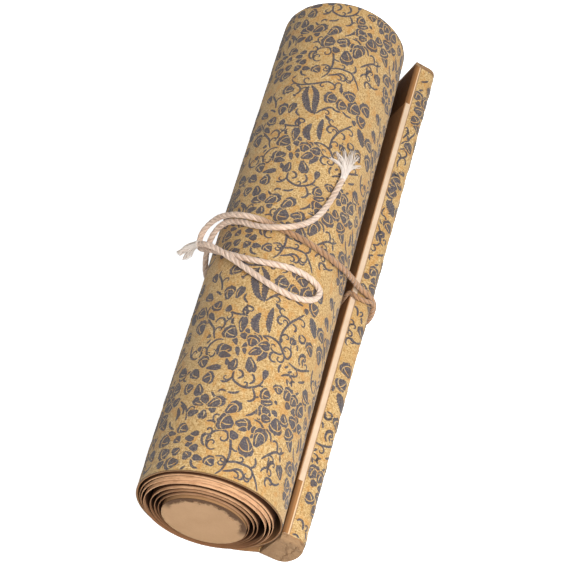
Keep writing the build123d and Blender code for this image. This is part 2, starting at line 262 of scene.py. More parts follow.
class Board:
    """Adds shader nodes to one new material and joins them."""

    def __init__(self, name: str) -> None:
        """Start an empty material.

        Args:
            name: Name of the material.
        """
        self.material = bpy.data.materials.new(name)
        self.material.use_nodes = True
        self.tree = self.material.node_tree
        self.tree.nodes.clear()

    def add(self, kind: str, inputs: dict | None = None, **settings: object) -> bpy.types.Node:
        """Add a node, and link or set its inputs.

        Args:
            kind: Blender's name of the node type, without its ShaderNode start.
            inputs: Values or sockets by input name or number.
            **settings: Properties of the node.

        Returns:
            The node.
        """
        node = self.tree.nodes.new("ShaderNode" + kind)
        for key, value in settings.items():
            setattr(node, key, value)
        for key, value in (inputs or {}).items():
            if isinstance(value, Socket):
                self.tree.links.new(value, node.inputs[key])
            elif node.inputs[key].type == "RGBA":
                node.inputs[key].default_value = (*value[:3], 1.0)
            else:
                node.inputs[key].default_value = value
        return node

    def math(self, operation: str, a: object, b: object = 0.0, c: object = 0.0) -> Socket:
        """Work out one number from up to three values or sockets."""
        return self.add("Math", {0: a, 1: b, 2: c}, operation=operation).outputs[0]

    def times(self, a: object, b: object) -> Socket:
        """Multiply two numbers."""
        return self.math("MULTIPLY", a, b)

    def ease(self, value: object, start: float, end: float, full: float = 1.0) -> Socket:
        """Go smoothly from 0 at the start to a full share at the end, which may be the lower of the two.

        Args:
            value: The number's socket.
            start: Where the share is 0.
            end: Where it is full.
            full: The full share.

        Returns:
            The share's socket.
        """
        share = self.add("MapRange", {0: value, 1: min(start, end), 2: max(start, end)},
                         interpolation_type="SMOOTHSTEP").outputs[0]
        share = share if start < end else self.math("SUBTRACT", 1.0, share)
        return share if full == 1.0 else self.times(share, full)

    def noise(self, place: Socket, scale: Point, detail: float = 3.0, rough: float = 0.6) -> Socket:
        """Soft noise.

        Args:
            place: The coordinates' socket.
            scale: How fine it is along each axis.
            detail: Number of finer layers.
            rough: How strong they are.

        Returns:
            The number's socket.
        """
        mapped = self.add("Mapping", {0: place, 3: scale}).outputs[0]
        return self.add("TexNoise", {"Vector": mapped, "Scale": 1.0, "Detail": detail,
                                     "Roughness": rough}).outputs[0]

    def place(self) -> Socket:
        """Object coordinates, in metres."""
        return self.add("TexCoord").outputs["Object"]

    def measure(self, row: Array, start: float) -> Socket:
        """A length in millimetres that grows evenly through space.

        Args:
            row: How much it grows for each millimetre of x, y and z in the roll's frame.
            start: Its value at the roll frame's origin.

        Returns:
            The length's socket, read from object coordinates.
        """
        dot = self.add("VectorMath", {0: self.place(), 1: tuple(1000.0 * np.asarray(row))},
                       operation="DOT_PRODUCT")
        return self.math("ADD", dot.outputs["Value"], float(start - np.dot(row, SHIFT)))

    def from_middle(self) -> Socket:
        """Length along the roll from its middle, the same towards both ends."""
        return self.math("ABSOLUTE", self.measure((0.0, 1.0, 0.0), 0.0))

    def from_axis(self, centre: Place) -> tuple[Socket, Socket, Socket]:
        """Distance from a line along the roll, the root of x squared plus z squared.

        Args:
            centre: x and z of the line.

        Returns:
            Sockets of the distance, and of x and z from the line.
        """
        x = self.measure((1.0, 0.0, 0.0), -centre[0])
        z = self.measure((0.0, 0.0, 1.0), -centre[1])
        return self.math("SQRT", self.math("ADD", self.times(x, x), self.times(z, z))), x, z

    def ramp(self, factor: Socket, stops: list[tuple[float, Colour]]) -> Socket:
        """Turn a number into a colour.

        Args:
            factor: The number's socket.
            stops: Places from 0 to 1 with their colours.

        Returns:
            The colour's socket.
        """
        node = self.add("ValToRGB", {0: factor})
        elements = node.color_ramp.elements
        while len(elements) < len(stops):
            elements.new(0.5)
        for element, (place, colour) in zip(elements, stops):
            element.position = place
            element.color = (*colour, 1.0)
        return node.outputs[0]

    def mix(self, factor: Socket, a: object, b: object) -> Socket:
        """Mix two colours, with the factor as the share of the second."""
        return self.add("Mix", {0: factor, 6: a, 7: b}, data_type="RGBA", clamp_result=True).outputs[2]

    def finish(self, colour: Socket, rough: float, height: Socket, relief: float,
               sheen: float = 0.0) -> Material:
        """Join the surface shader and the output.

        Args:
            colour: Socket of the base colour.
            rough: Roughness.
            height: Socket with the surface's height in millimetres.
            relief: Strength of the bump.
            sheen: Weight of the soft sheen of fibres.

        Returns:
            The finished material.
        """
        bump = self.add("Bump", {"Strength": relief, "Distance": 0.001, "Height": height}).outputs[0]
        surface = self.add("BsdfPrincipled", {"Base Color": colour, "Roughness": rough, "Normal": bump,
                                              "Sheen Weight": sheen, "Specular IOR Level": 0.25})
        self.add("OutputMaterial", {0: surface.outputs[0]})
        return self.material


def linear(red: int, green: int, blue: int) -> Colour:
    """Turn a colour of 0 to 255, as it looks on a screen, into the linear values that shaders use."""
    return tuple(v / 12.92 if v <= 0.04045 else ((v + 0.055) / 1.055) ** 2.4
                 for v in (red / 255, green / 255, blue / 255))


@dataclass(frozen=True)
class ClothFinish:
    """Silk cloth seen as crossing threads, with a soft mottling where it has aged."""

    name: str
    bright: Colour
    light: Colour
    deep: Colour
    fleck: Colour
    rim: Colour
    warm: Colour
    thread: float = 0.62

    def build(self) -> Material:
        """Threads are two crossed waves on the cloth's own UV map, in millimetres, with slubs over them.

        Returns:
            The material.
        """
        board = Board(self.name)
        place = board.add("UVMap", uv_map="cloth").outputs[0]
        around, along, _ = board.add("SeparateXYZ", {0: place}).outputs
        warp = board.math("SINE", board.times(around, 2 * math.pi / self.thread))
        weft = board.math("SINE", board.times(along, 2 * math.pi / (self.thread * 1.2)))
        slub = board.noise(place, (0.75, 1.5, 1.0), 3.0, 0.75)
        cross = board.noise(place, (1.7, 0.45, 1.0), 2.0, 0.6)
        age = board.noise(place, (0.06, 0.045, 1.0), 5.0)
        patch = board.noise(place, (0.2, 0.14, 1.0), 3.0)
        both = board.math("ADD", board.times(slub, 0.65), board.times(cross, 0.35))
        grain = board.math("ADD", board.math("MULTIPLY_ADD", both, 3.7, -1.35),
                           board.times(board.times(warp, weft), 0.07))
        speckled = board.ramp(grain, [(0.0, self.fleck), (0.38, self.deep), (0.62, self.light),
                                      (1.0, self.bright)])
        aged = board.mix(board.ease(age, 0.42, 0.66, 0.5), speckled, self.deep)
        marked = board.mix(board.ease(patch, 0.5, 0.64, 0.5), aged, self.warm)
        end = board.ease(board.math("ABSOLUTE", along), 149.3, 149.95, 0.85)
        return board.finish(board.mix(end, marked, self.rim), 0.75, board.times(grain, 0.12), 0.6, 0.12)


@dataclass(frozen=True)
class PaperFinish:
    """Plain paper: fibres, faint mottling and slightly darker worn places."""

    name: str
    light: Colour
    deep: Colour
    mottle: float = 90.0
    fibre: float = 900.0
    relief: float = 0.15
    rough: float = 0.85

    def surface(self, board: Board) -> tuple[Socket, Socket]:
        """Mottling and fibres are two noises on object coordinates.

        Args:
            board: The material's nodes.

        Returns:
            Sockets of the colour and of the height.
        """
        place = board.place()
        mottle = board.noise(place, (self.mottle,) * 3, 5.0)
        fibre = board.noise(place, (self.fibre, 0.3 * self.fibre, self.fibre))
        tone = board.math("ADD", board.times(mottle, 1.1), board.times(fibre, 0.5))
        return board.mix(board.math("SUBTRACT", tone, 0.35), self.light, self.deep), fibre

    def coloured(self, board: Board, colour: Socket) -> Socket:
        """Plain paper keeps its plain colour."""
        return colour

    def build(self) -> Material:
        """The plain surface, coloured by where the paper is.

        Returns:
            The material.
        """
        board = Board(self.name)
        colour, fibre = self.surface(board)
        return board.finish(self.coloured(board, colour), self.rough, fibre, self.relief)


@dataclass(frozen=True)
class EdgesFinish(PaperFinish):
    """The rolled sheet's edges: pale where a turn stands out, dark brown painted shade between the turns."""

    centre: Place = (0.0, 0.0)
    layer: Colour = linear(150, 104, 68)
    # The low and hollow colours are painted shade: the roll's underside, and the gaps deep between the turns
    low: Colour = linear(116, 77, 48)
    inner: Colour = linear(122, 82, 52)
    hollow_shade: Colour = linear(74, 44, 24)

    def coloured(self, board: Board, colour: Socket) -> Socket:
        """It darkens smoothly in the inner turns, and with painted shade downwards and from the cover's rims
        inwards.

        Args:
            board: The material's nodes.
            colour: The plain colour.

        Returns:
            Socket of the new colour.
        """
        layers = board.noise(board.place(), (160.0, 1500.0, 160.0), 2.0)
        lined = board.mix(board.ease(layers, 0.5, 0.62, 0.45), colour, self.layer)
        # Painted shade: darker downwards, where the roll's underside gets less light
        low = board.ease(board.measure((0.25, 0.0, 1.0), 0.0), 52.0, 14.0, 0.8)
        far, _, _ = board.from_axis(self.centre)
        shaded = board.mix(board.ease(far, 28.6, 25.4, 0.55), board.mix(low, lined, self.low), self.inner)
        # Painted shade between the turns, more than a millimetre behind the rims
        return board.mix(board.ease(board.from_middle(), 150.2, 149.2), shaded, self.hollow_shade)


@dataclass(frozen=True)
class LiningFinish(PaperFinish):
    """The lining paper: cream where it folds over the stave's narrow edge, brown painted shade in the gap and
    at rims.
    """

    path: ClothPath | None = None
    # The gap and rim browns are painted shade: of the gap between roll and stave, near the ends, and along
    # the cloth's edge
    gap: Colour = linear(158, 116, 78)
    rim: Colour = linear(160, 118, 80)

    def coloured(self, board: Board, colour: Socket) -> Socket:
        """Colours go by lengths up the stave's flat side and into the wood.

        Args:
            board: The material's nodes.
            colour: The plain colour.

        Returns:
            Socket of the new colour.
        """
        up = board.measure(*self.path.from_foot(self.path.along))
        deep = board.measure(*self.path.from_foot(self.path.deep))
        # Cream only on the narrow edge, fading into painted shadow at its side by the gap
        edge = board.times(board.ease(up, 22.3, 22.8), board.ease(deep, -0.1, 0.7))
        # Painted shadow: the darker line where the fold meets the cloth's edge
        marked = board.mix(board.ease(deep, 2.7, 3.2, 0.75), colour, self.rim)
        # Painted shade away from the narrow edge: the gap's brown, and the rims' brown at the ends
        ends = board.mix(board.ease(board.from_middle(), 149.3, 149.9), self.gap, self.rim)
        return board.mix(edge, ends, marked)


@dataclass(frozen=True)
class BorderFinish(PaperFinish):
    """The brown edge strip: painted shade darkens it towards the gap, with a pale line along its outer side.
    """

    path: ClothPath | None = None
    dark: Colour = linear(104, 70, 40)
    line: Colour = linear(228, 192, 150)
    rough: float = 0.8

    def coloured(self, board: Board, colour: Socket) -> Socket:
        """Colours go by the length across the narrow edge.

        Args:
            board: The material's nodes.
            colour: The plain colour.

        Returns:
            Socket of the new colour.
        """
        deep = board.measure(*self.path.from_foot(self.path.deep))
        up = board.measure(*self.path.from_foot(self.path.along))
        # Painted shade: darker towards the gap, and down the stave's flat side below the narrow edge
        shaded = board.mix(board.ease(deep, 1.7, 0.0, 0.85), colour, self.dark)
        low = board.mix(board.ease(up, 22.6, 21.0), shaded, self.dark)
        return board.mix(board.ease(deep, 2.15, 2.4), low, self.line)


@dataclass(frozen=True)
class DiscFinish(PaperFinish):
    """The round end paper: dark ragged marks along its upper and outer rim, blotches together with painted
    shadow from the turns above.
    """

    centre: Place = (0.0, 0.0)
    radius: float = 20.3
    blotch_and_shadow: Colour = linear(74, 48, 30)

    def coloured(self, board: Board, colour: Socket) -> Socket:
        """A dark mark, blotch and painted shadow in one, shows where the distance from the centre, and noise,
        add up to the rim.

        Args:
            board: The material's nodes.
            colour: The plain colour.

        Returns:
            Socket of the new colour.
        """
        far, x, z = board.from_axis(self.centre)
        ragged = board.noise(board.place(), (230.0, 1.0, 230.0), 5.0, 0.7)
        rim = board.ease(board.math("MULTIPLY_ADD", ragged, 9.0, far), self.radius + 0.2, self.radius + 2.8)
        # Painted shadow: the rim's marks keep mostly to the upper side, where the turns above shade the disc
        side = board.ease(board.math("ADD", z, board.times(x, 0.35)), -3.0, 6.0)
        faint = board.ease(board.math("MULTIPLY_ADD", ragged, 7.0, far), self.radius + 2.6,
                           self.radius + 4.6, 0.45)
        spots_and_shadow = board.math("MAXIMUM", board.times(rim, side), faint)
        return board.mix(board.times(spots_and_shadow, 0.9), colour, self.blotch_and_shadow)


@dataclass(frozen=True)
class CapFinish(PaperFinish):
    """The paper folded over the stave's ends: creased and soiled, with painted shade in its folds and towards
    the gap.
    """

    # The soil colour serves both the soiling and the painted shade in the folds; shade is painted shade
    # towards the gap
    soil: Colour = linear(96, 66, 42)
    shade: Colour = linear(110, 80, 56)

    def build(self) -> Material:
        """Creases are a distorted noise that soils the paper, and painted shade follows the folds stored in
        the mesh.

        Returns:
            The material.
        """
        board = Board(self.name)
        colour, fibre = self.surface(board)
        stored = board.add("Attribute", attribute_name="fold").outputs["Vector"]
        fold, low, _ = board.add("SeparateXYZ", {0: stored}).outputs
        crease = board.noise(board.place(), (300.0, 300.0, 120.0), 4.0, 0.7)
        # Soiling from the creases' noise, and painted shade at the foot of each flap's edge
        soil = board.math("MAXIMUM", board.ease(crease, 0.54, 0.68), board.ease(fold, 0.9, 0.1))
        dirty = board.mix(board.times(soil, 0.55), colour, self.soil)
        # Painted shade on the side of the end towards the gap
        shaded = board.mix(board.times(low, 0.5), dirty, self.shade)
        return board.finish(shaded, self.rough, board.math("ADD", crease, fibre), 0.6)


@dataclass(frozen=True)
class CottonFinish:
    """Soft twisted cotton: fine fibres along the strands, and painted shade in the grooves between them."""

    name: str
    light: Colour
    deep: Colour
    soiled: Colour
    soiled_until: float = 0.0
    # Strength of the painted shade between the strands
    hollow_shade: float = 0.4
    fade: float = 16.0

    def build(self) -> Material:
        """Fibres are noise drawn out along the cord, and painted shade darkens the groove between strands,
        where |cos(strands/2 angle)| is small.

        Returns:
            The material.
        """
        board = Board(self.name)
        place = board.add("Attribute", attribute_name="strand").outputs["Vector"]
        x, y, far = board.add("SeparateXYZ", {0: place}).outputs
        fibre = board.noise(place, (2.6, 2.6, 0.3), 4.0, 0.7)
        yarn = board.noise(place, (1.3, 1.3, 0.12), 2.0)
        soil = board.noise(board.place(), (70.0,) * 3)
        turn = board.math("ARCTAN2", y, x)
        lobe = board.math("ABSOLUTE", board.math("COSINE", board.times(turn, 0.5 * STRANDS)))
        streak = board.math("ADD", board.ease(fibre, 0.45, 0.7), board.ease(yarn, 0.5, 0.66, 0.6))
        tone = board.math("ADD", board.times(streak, 0.6), board.math("MULTIPLY_ADD", soil, 0.9, -0.3))
        # Painted shade in the grooves between the strands
        tone = board.math("ADD", tone, board.times(board.ease(lobe, 0.5, 0.0), self.hollow_shade))
        colour = board.mix(tone, self.light, self.deep)
        if self.soiled_until:
            near = board.ease(board.math("MULTIPLY_ADD", soil, self.fade, far),
                              self.soiled_until + self.fade, self.soiled_until)
            # More painted shade between the strands where the cord is soiled
            darker = board.math("ADD", tone, board.ease(lobe, 0.5, 0.0, 0.5))
            dirty = board.mix(darker, self.soiled, tuple(0.42 * value for value in self.soiled))
            colour = board.mix(near, colour, dirty)
        height = board.math("ADD", fibre, board.times(lobe, 0.7))
        return board.finish(colour, 0.9, height, 0.7, 0.25)


@dataclass
class ClothPath:
    """Cross-section of the cover: the outermost turn, the flap and the way round the stave."""

    # The roll, its layers, and the angle at which the cover leaves it
    roll_radius: float = 34.6
    flat_sag: float = 0.3
    cloth: float = 0.4
    lining: float = 0.3
    paste: float = 0.05
    turn_gap: float = 0.15
    tuck_angle: float = 5.0
    # The stave's section, its tilt, height and gap at the front, and how far its back end is out and up
    stave_width: float = 22.6
    stave_depth: float = 14.4
    shoulder: float = 5.5
    crown: float = 22.0
    tilt: float = math.radians(63.0)
    height: float = 3.95
    stave_gap: float = 0.21
    out: float = 7.6
    rise: float = 7.5
    # The fold over the narrow edge, and the flap's end and bend before the stave's foot
    fold: float = 3.3
    junction: float = 2.6
    spread: float = 1.4
    flap_turn: float = 1.6
    flap_handle: float = 0.4
    # Ends of the cover and of the stave along the roll
    front: float = -150.0
    back: float = 150.0
    stave_front: float = -150.2
    stave_back: float = 151.2
    # How many points each stretch of the section has
    hidden_points: int = 24
    circle_points: int = 109
    flat_points: int = 6
    flap_points: int = 14
    onto_points: int = 5
    lower_points: int = 5
    shoulder_points: int = 9
    crown_points: int = 15
    upper_points: int = 4

    @property
    def centre_z(self) -> float:
        """Height of the roll's axis."""
        return self.roll_radius - self.flat_sag

    @property
    def flat_half(self) -> float:
        """Half the width of the flat spot that the roll lies on."""
        return math.sqrt(self.roll_radius**2 - self.centre_z**2)

    @property
    def along(self) -> Array:
        """Way up the stave's flat side."""
        return np.array([math.cos(self.tilt), math.sin(self.tilt)])

    @property
    def deep(self) -> Array:
        """Way from the stave's flat side into the wood."""
        return np.array([math.sin(self.tilt), -math.cos(self.tilt)])

    def foot(self, y: float) -> Array:
        """Lower corner of the stave's flat side at a place along the roll.

        Args:
            y: The place.

        Returns:
            x and z of the corner.
        """
        share = (y - self.stave_front) / (self.stave_back - self.stave_front)
        away = self.roll_radius + self.lining + self.paste + self.stave_gap
        x = (away + math.cos(self.tilt) * (self.height - self.centre_z)) / math.sin(self.tilt)
        return np.array([x + share * self.out, self.height + share * self.rise])

    def from_foot(self, way: Array) -> tuple[Array, float]:
        """The length from the stave's foot in a direction of its section, anywhere along the leaning stave.

        Args:
            way: The direction's x and z.

        Returns:
            How much the length grows for each millimetre of x, y and z, and its value at the origin.
        """
        lean = (self.out * way[0] + self.rise * way[1]) / (self.stave_back - self.stave_front)
        return np.array([way[0], -lean, way[1]]), -float(way @ self.foot(0.0))

    def on_stave(self, foot: Array, along: Array, deep: Array) -> Array:
        """Points of the stave's section: so far up the flat side from its foot, and so deep in the wood."""
        return foot + np.multiply.outer(along, self.along) + np.multiply.outer(deep, self.deep)

    def around(self, radius: float | Array, angle: Array) -> Array:
        """Points about the roll's axis at angles above +X, in degrees."""
        turn = np.radians(angle)
        return np.stack([radius * np.cos(turn), self.centre_z + radius * np.sin(turn)], -1)

    def roll_part(self, depth: float) -> list[Array]:
        """The outermost turn: its hidden end shrinks smoothly inwards, then a circle, then the flat spot.

        Args:
            depth: Depth under the cloth's face.

        Returns:
            The three stretches as rows of points.
        """
        dive = self.flat_sag + self.cloth + self.paste + self.lining + self.turn_gap
        angle = np.linspace(-90.0, self.tuck_angle, self.hidden_points)
        share = (self.tuck_angle - angle) / (self.tuck_angle + 90.0)
        radius = self.roll_radius - depth
        hidden = self.around(radius - dive * share**2 * (3 - 2 * share), angle)
        flat_x = -math.sqrt(radius**2 - (self.centre_z - depth)**2)
        last = 360.0 + math.degrees(math.atan2(depth - self.centre_z, flat_x))
        circle = self.around(radius, np.linspace(self.tuck_angle, last, self.circle_points))
        flat_line = np.linspace(flat_x, self.flat_half, self.flat_points)
        return [hidden, circle, np.stack([flat_line, np.full(self.flat_points, depth)], -1)]

    def flap_part(self, foot: Array, depth: float) -> tuple[Array, Array]:
        """The flap is a cubic curve from the flat spot to just before the stave's foot.

        Args:
            foot: The stave's foot.
            depth: Depth under the cloth's face.

        Returns:
            Its points, and the way it goes at its end.
        """
        level = self.cloth + self.paste
        chord = self.flap_turn * math.atan2(foot[1] - level, foot[0] - self.flat_half)
        way = np.array([math.cos(chord), math.sin(chord)])
        start, end = np.array([self.flat_half, level]), foot - self.junction * way
        handle = self.flap_handle * np.linalg.norm(end - start)
        controls = np.stack([start, start + (handle, 0), end - handle * way, end])
        t = np.linspace(0, 1, self.flap_points)
        weights = np.stack([(1 - t)**3, 3 * t * (1 - t)**2, 3 * t**2 * (1 - t), t**3], -1)
        slopes = np.stack([-3 * (1 - t)**2, 3 * (1 - t)**2 - 6 * t * (1 - t), 6 * t * (1 - t) - 3 * t**2,
                           3 * t**2], -1) @ controls
        normal = unit(np.stack([-slopes[:, 1], slopes[:, 0]], -1))
        return weights @ controls + (depth - level) * normal, way

    def round_part(self, foot: Array, offset: float) -> list[Array]:
        """Lower edge, shoulder, crown, shoulder and upper edge of the stave, at an offset from the wood.

        Args:
            foot: The stave's foot.
            offset: The offset.

        Returns:
            The five stretches as rows of points.
        """
        middle, reach = self.stave_width / 2, self.stave_width / 2 - self.shoulder
        crown_deep = self.stave_depth - self.crown
        shoulder_deep = crown_deep + math.sqrt((self.crown - self.shoulder)**2 - reach**2)
        lean = math.atan2(reach, shoulder_deep - crown_deep)
        radius = self.shoulder + offset
        turn = np.linspace(math.pi / 2, lean, self.shoulder_points)
        bow = np.linspace(-lean, lean, self.crown_points)
        low = self.on_stave(foot, middle - reach - radius * np.sin(turn),
                            shoulder_deep + radius * np.cos(turn))
        high = self.on_stave(foot, middle + reach + radius * np.sin(turn[::-1]),
                             shoulder_deep + radius * np.cos(turn[::-1]))
        crown = self.on_stave(foot, middle + (self.crown + offset) * np.sin(bow),
                              crown_deep + (self.crown + offset) * np.cos(bow))
        lower = self.on_stave(foot, np.full(self.lower_points, -offset),
                              np.linspace(self.spread, shoulder_deep, self.lower_points))
        upper = self.on_stave(foot, np.full(self.upper_points, self.stave_width + offset),
                              np.linspace(shoulder_deep, self.fold + 2 * self.paste, self.upper_points))
        return [lower, low, crown, high, upper]

    def section(self, y: float, depth: float) -> Array:
        """The cloth's whole path at one place along the roll.

        Args:
            y: The place.
            depth: Depth under the cloth's face.

        Returns:
            Rows of x and z, as many at every place.
        """
        foot, offset = self.foot(y), self.cloth + self.paste - depth
        flap, way = self.flap_part(foot, depth)
        start, end = flap[-1], self.on_stave(foot, -offset, self.spread)
        t = np.linspace(0, 1, self.onto_points)[:, None]
        pull = np.linalg.norm(end - start)
        onto = ((2 * t**3 - 3 * t**2 + 1) * start + (t**3 - 2 * t**2 + t) * pull * way
                + (3 * t**2 - 2 * t**3) * end + (t**3 - t**2) * pull * self.deep)
        stretches = self.roll_part(depth) + [flap, onto] + self.round_part(foot, offset)
        return np.concatenate([stretches[0]] + [stretch[1:] for stretch in stretches[1:]])


@dataclass
class Cover:
    """The patterned cloth that is the roll's outermost turn and wraps the stave's round side."""

    path: ClothPath = field(default_factory=ClothPath)
    across: int = 61
    clear_of_end: float = 2.45
    crisp: float = 50.0

    def __post_init__(self) -> None:
        """Keep the path at both ends of the roll, and its length from the roll's top line."""
        path = self.path
        self.ends = [path.section(y, 0.0) for y in (path.front, path.back)]
        steps = [np.linalg.norm(np.diff(end, axis=0), axis=1) for end in self.ends]
        run = np.concatenate([[0.0], np.cumsum(sum(steps) / 2)])
        last = 180.0 + math.degrees(math.asin(path.centre_z / path.roll_radius))
        share = (90.0 - path.tuck_angle) / (last - path.tuck_angle)
        top = path.hidden_points - 1 + share * (path.circle_points - 1)
        self.run = run - np.interp(top, np.arange(len(run)), run)
        self.stave_points = sum(len(part) - 1 for part in path.round_part(path.foot(0.0), 0.0))
        self.stave_run = self.run[-self.stave_points]

    def share(self, y: Array) -> Array:
        """How far places along the roll are from its front end to its back end, as a share."""
        return (y - self.path.front) / (self.path.back - self.path.front)

    def keep_on(self, y: Array, on_stave: Array, margin: float) -> Array:
        """Keep places along the roll off the bare ends of the stave.

        Args:
            y: The places.
            on_stave: Which of them are on the stave.
            margin: How far they stay inside the cloth's own edges there.

        Returns:
            The places, moved where they have to.
        """
        inside = self.clear_of_end + margin
        low, high = self.path.stave_front + inside, self.path.stave_back - inside
        return np.where(on_stave, np.clip(y, low, high), y)

    def places(self, u: Array, y: Array, lift: float | Array = 0.0) -> Array:
        """Points on the cloth's face, at a length round it from the roll's top line and a place along it.

        Args:
            u: Lengths round the cloth.
            y: Places along it.
            lift: Height over the face.

        Returns:
            The points.
        """
        share, near = self.share(y)[..., None], 0.05
        before, here, after = (read_line(u + step, self.run, self.ends[0]) * (1 - share)
                               + read_line(u + step, self.run, self.ends[1]) * share
                               for step in (-near, 0.0, near))
        way = after - before
        here = here + lift * unit(np.stack([way[..., 1], -way[..., 0]], -1))
        return np.stack([here[..., 0], y, here[..., 1]], -1)

    def build(self, finish: Material) -> Piece:
        """Face and back are two grids of the section at places along the roll, joined round their rims.

        Args:
            finish: The cloth's material.

        Returns:
            The piece.
        """
        y = np.linspace(self.path.front, self.path.back, self.across)
        share = self.share(y)[:, None, None]
        layers = []
        for depth in (0.0, self.path.cloth):
            first, last = (self.path.section(end, depth) for end in (self.path.front, self.path.back))
            rows = first * (1 - share) + last * share
            on_stave = np.arange(rows.shape[1]) >= rows.shape[1] - self.stave_points
            kept = self.keep_on(np.broadcast_to(y[:, None], rows.shape[:2]), on_stave, 0.0)
            layers.append(np.stack([rows[..., 0], kept, rows[..., 1]], -1))
        points = np.stack(layers)
        uv = np.stack([np.broadcast_to(self.run, points.shape[:3]), points[..., 1]], -1)
        piece = Piece("cover_cloth_dressed", points, self.faces(*points.shape[1:3]), finish,
                      Slot.CLOTH)
        piece.vertex_uv("cloth", uv).sharp(self.crisp)
        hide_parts("cover_cloth")
        return piece

    @staticmethod
    def faces(rows: int, columns: int) -> Array:
        """Faces of two grids, one behind the other, joined round their rims into one closed skin.

        Args:
            rows: Rows in each grid.
            columns: Columns in each grid.

        Returns:
            The quads.
        """
        size = rows * columns
        face = grid_faces(rows, columns)
        back = grid_faces(rows, columns, size)[:, ::-1]
        rim = np.concatenate([np.arange(columns), np.arange(1, rows) * columns + columns - 1,
                              (rows - 1) * columns + np.arange(columns - 1)[::-1],
                              np.arange(1, rows - 1)[::-1] * columns])
        after = np.roll(rim, -1)
        side = np.stack([rim, after, after + size, rim + size], -1)
        return np.concatenate([face, back, side])


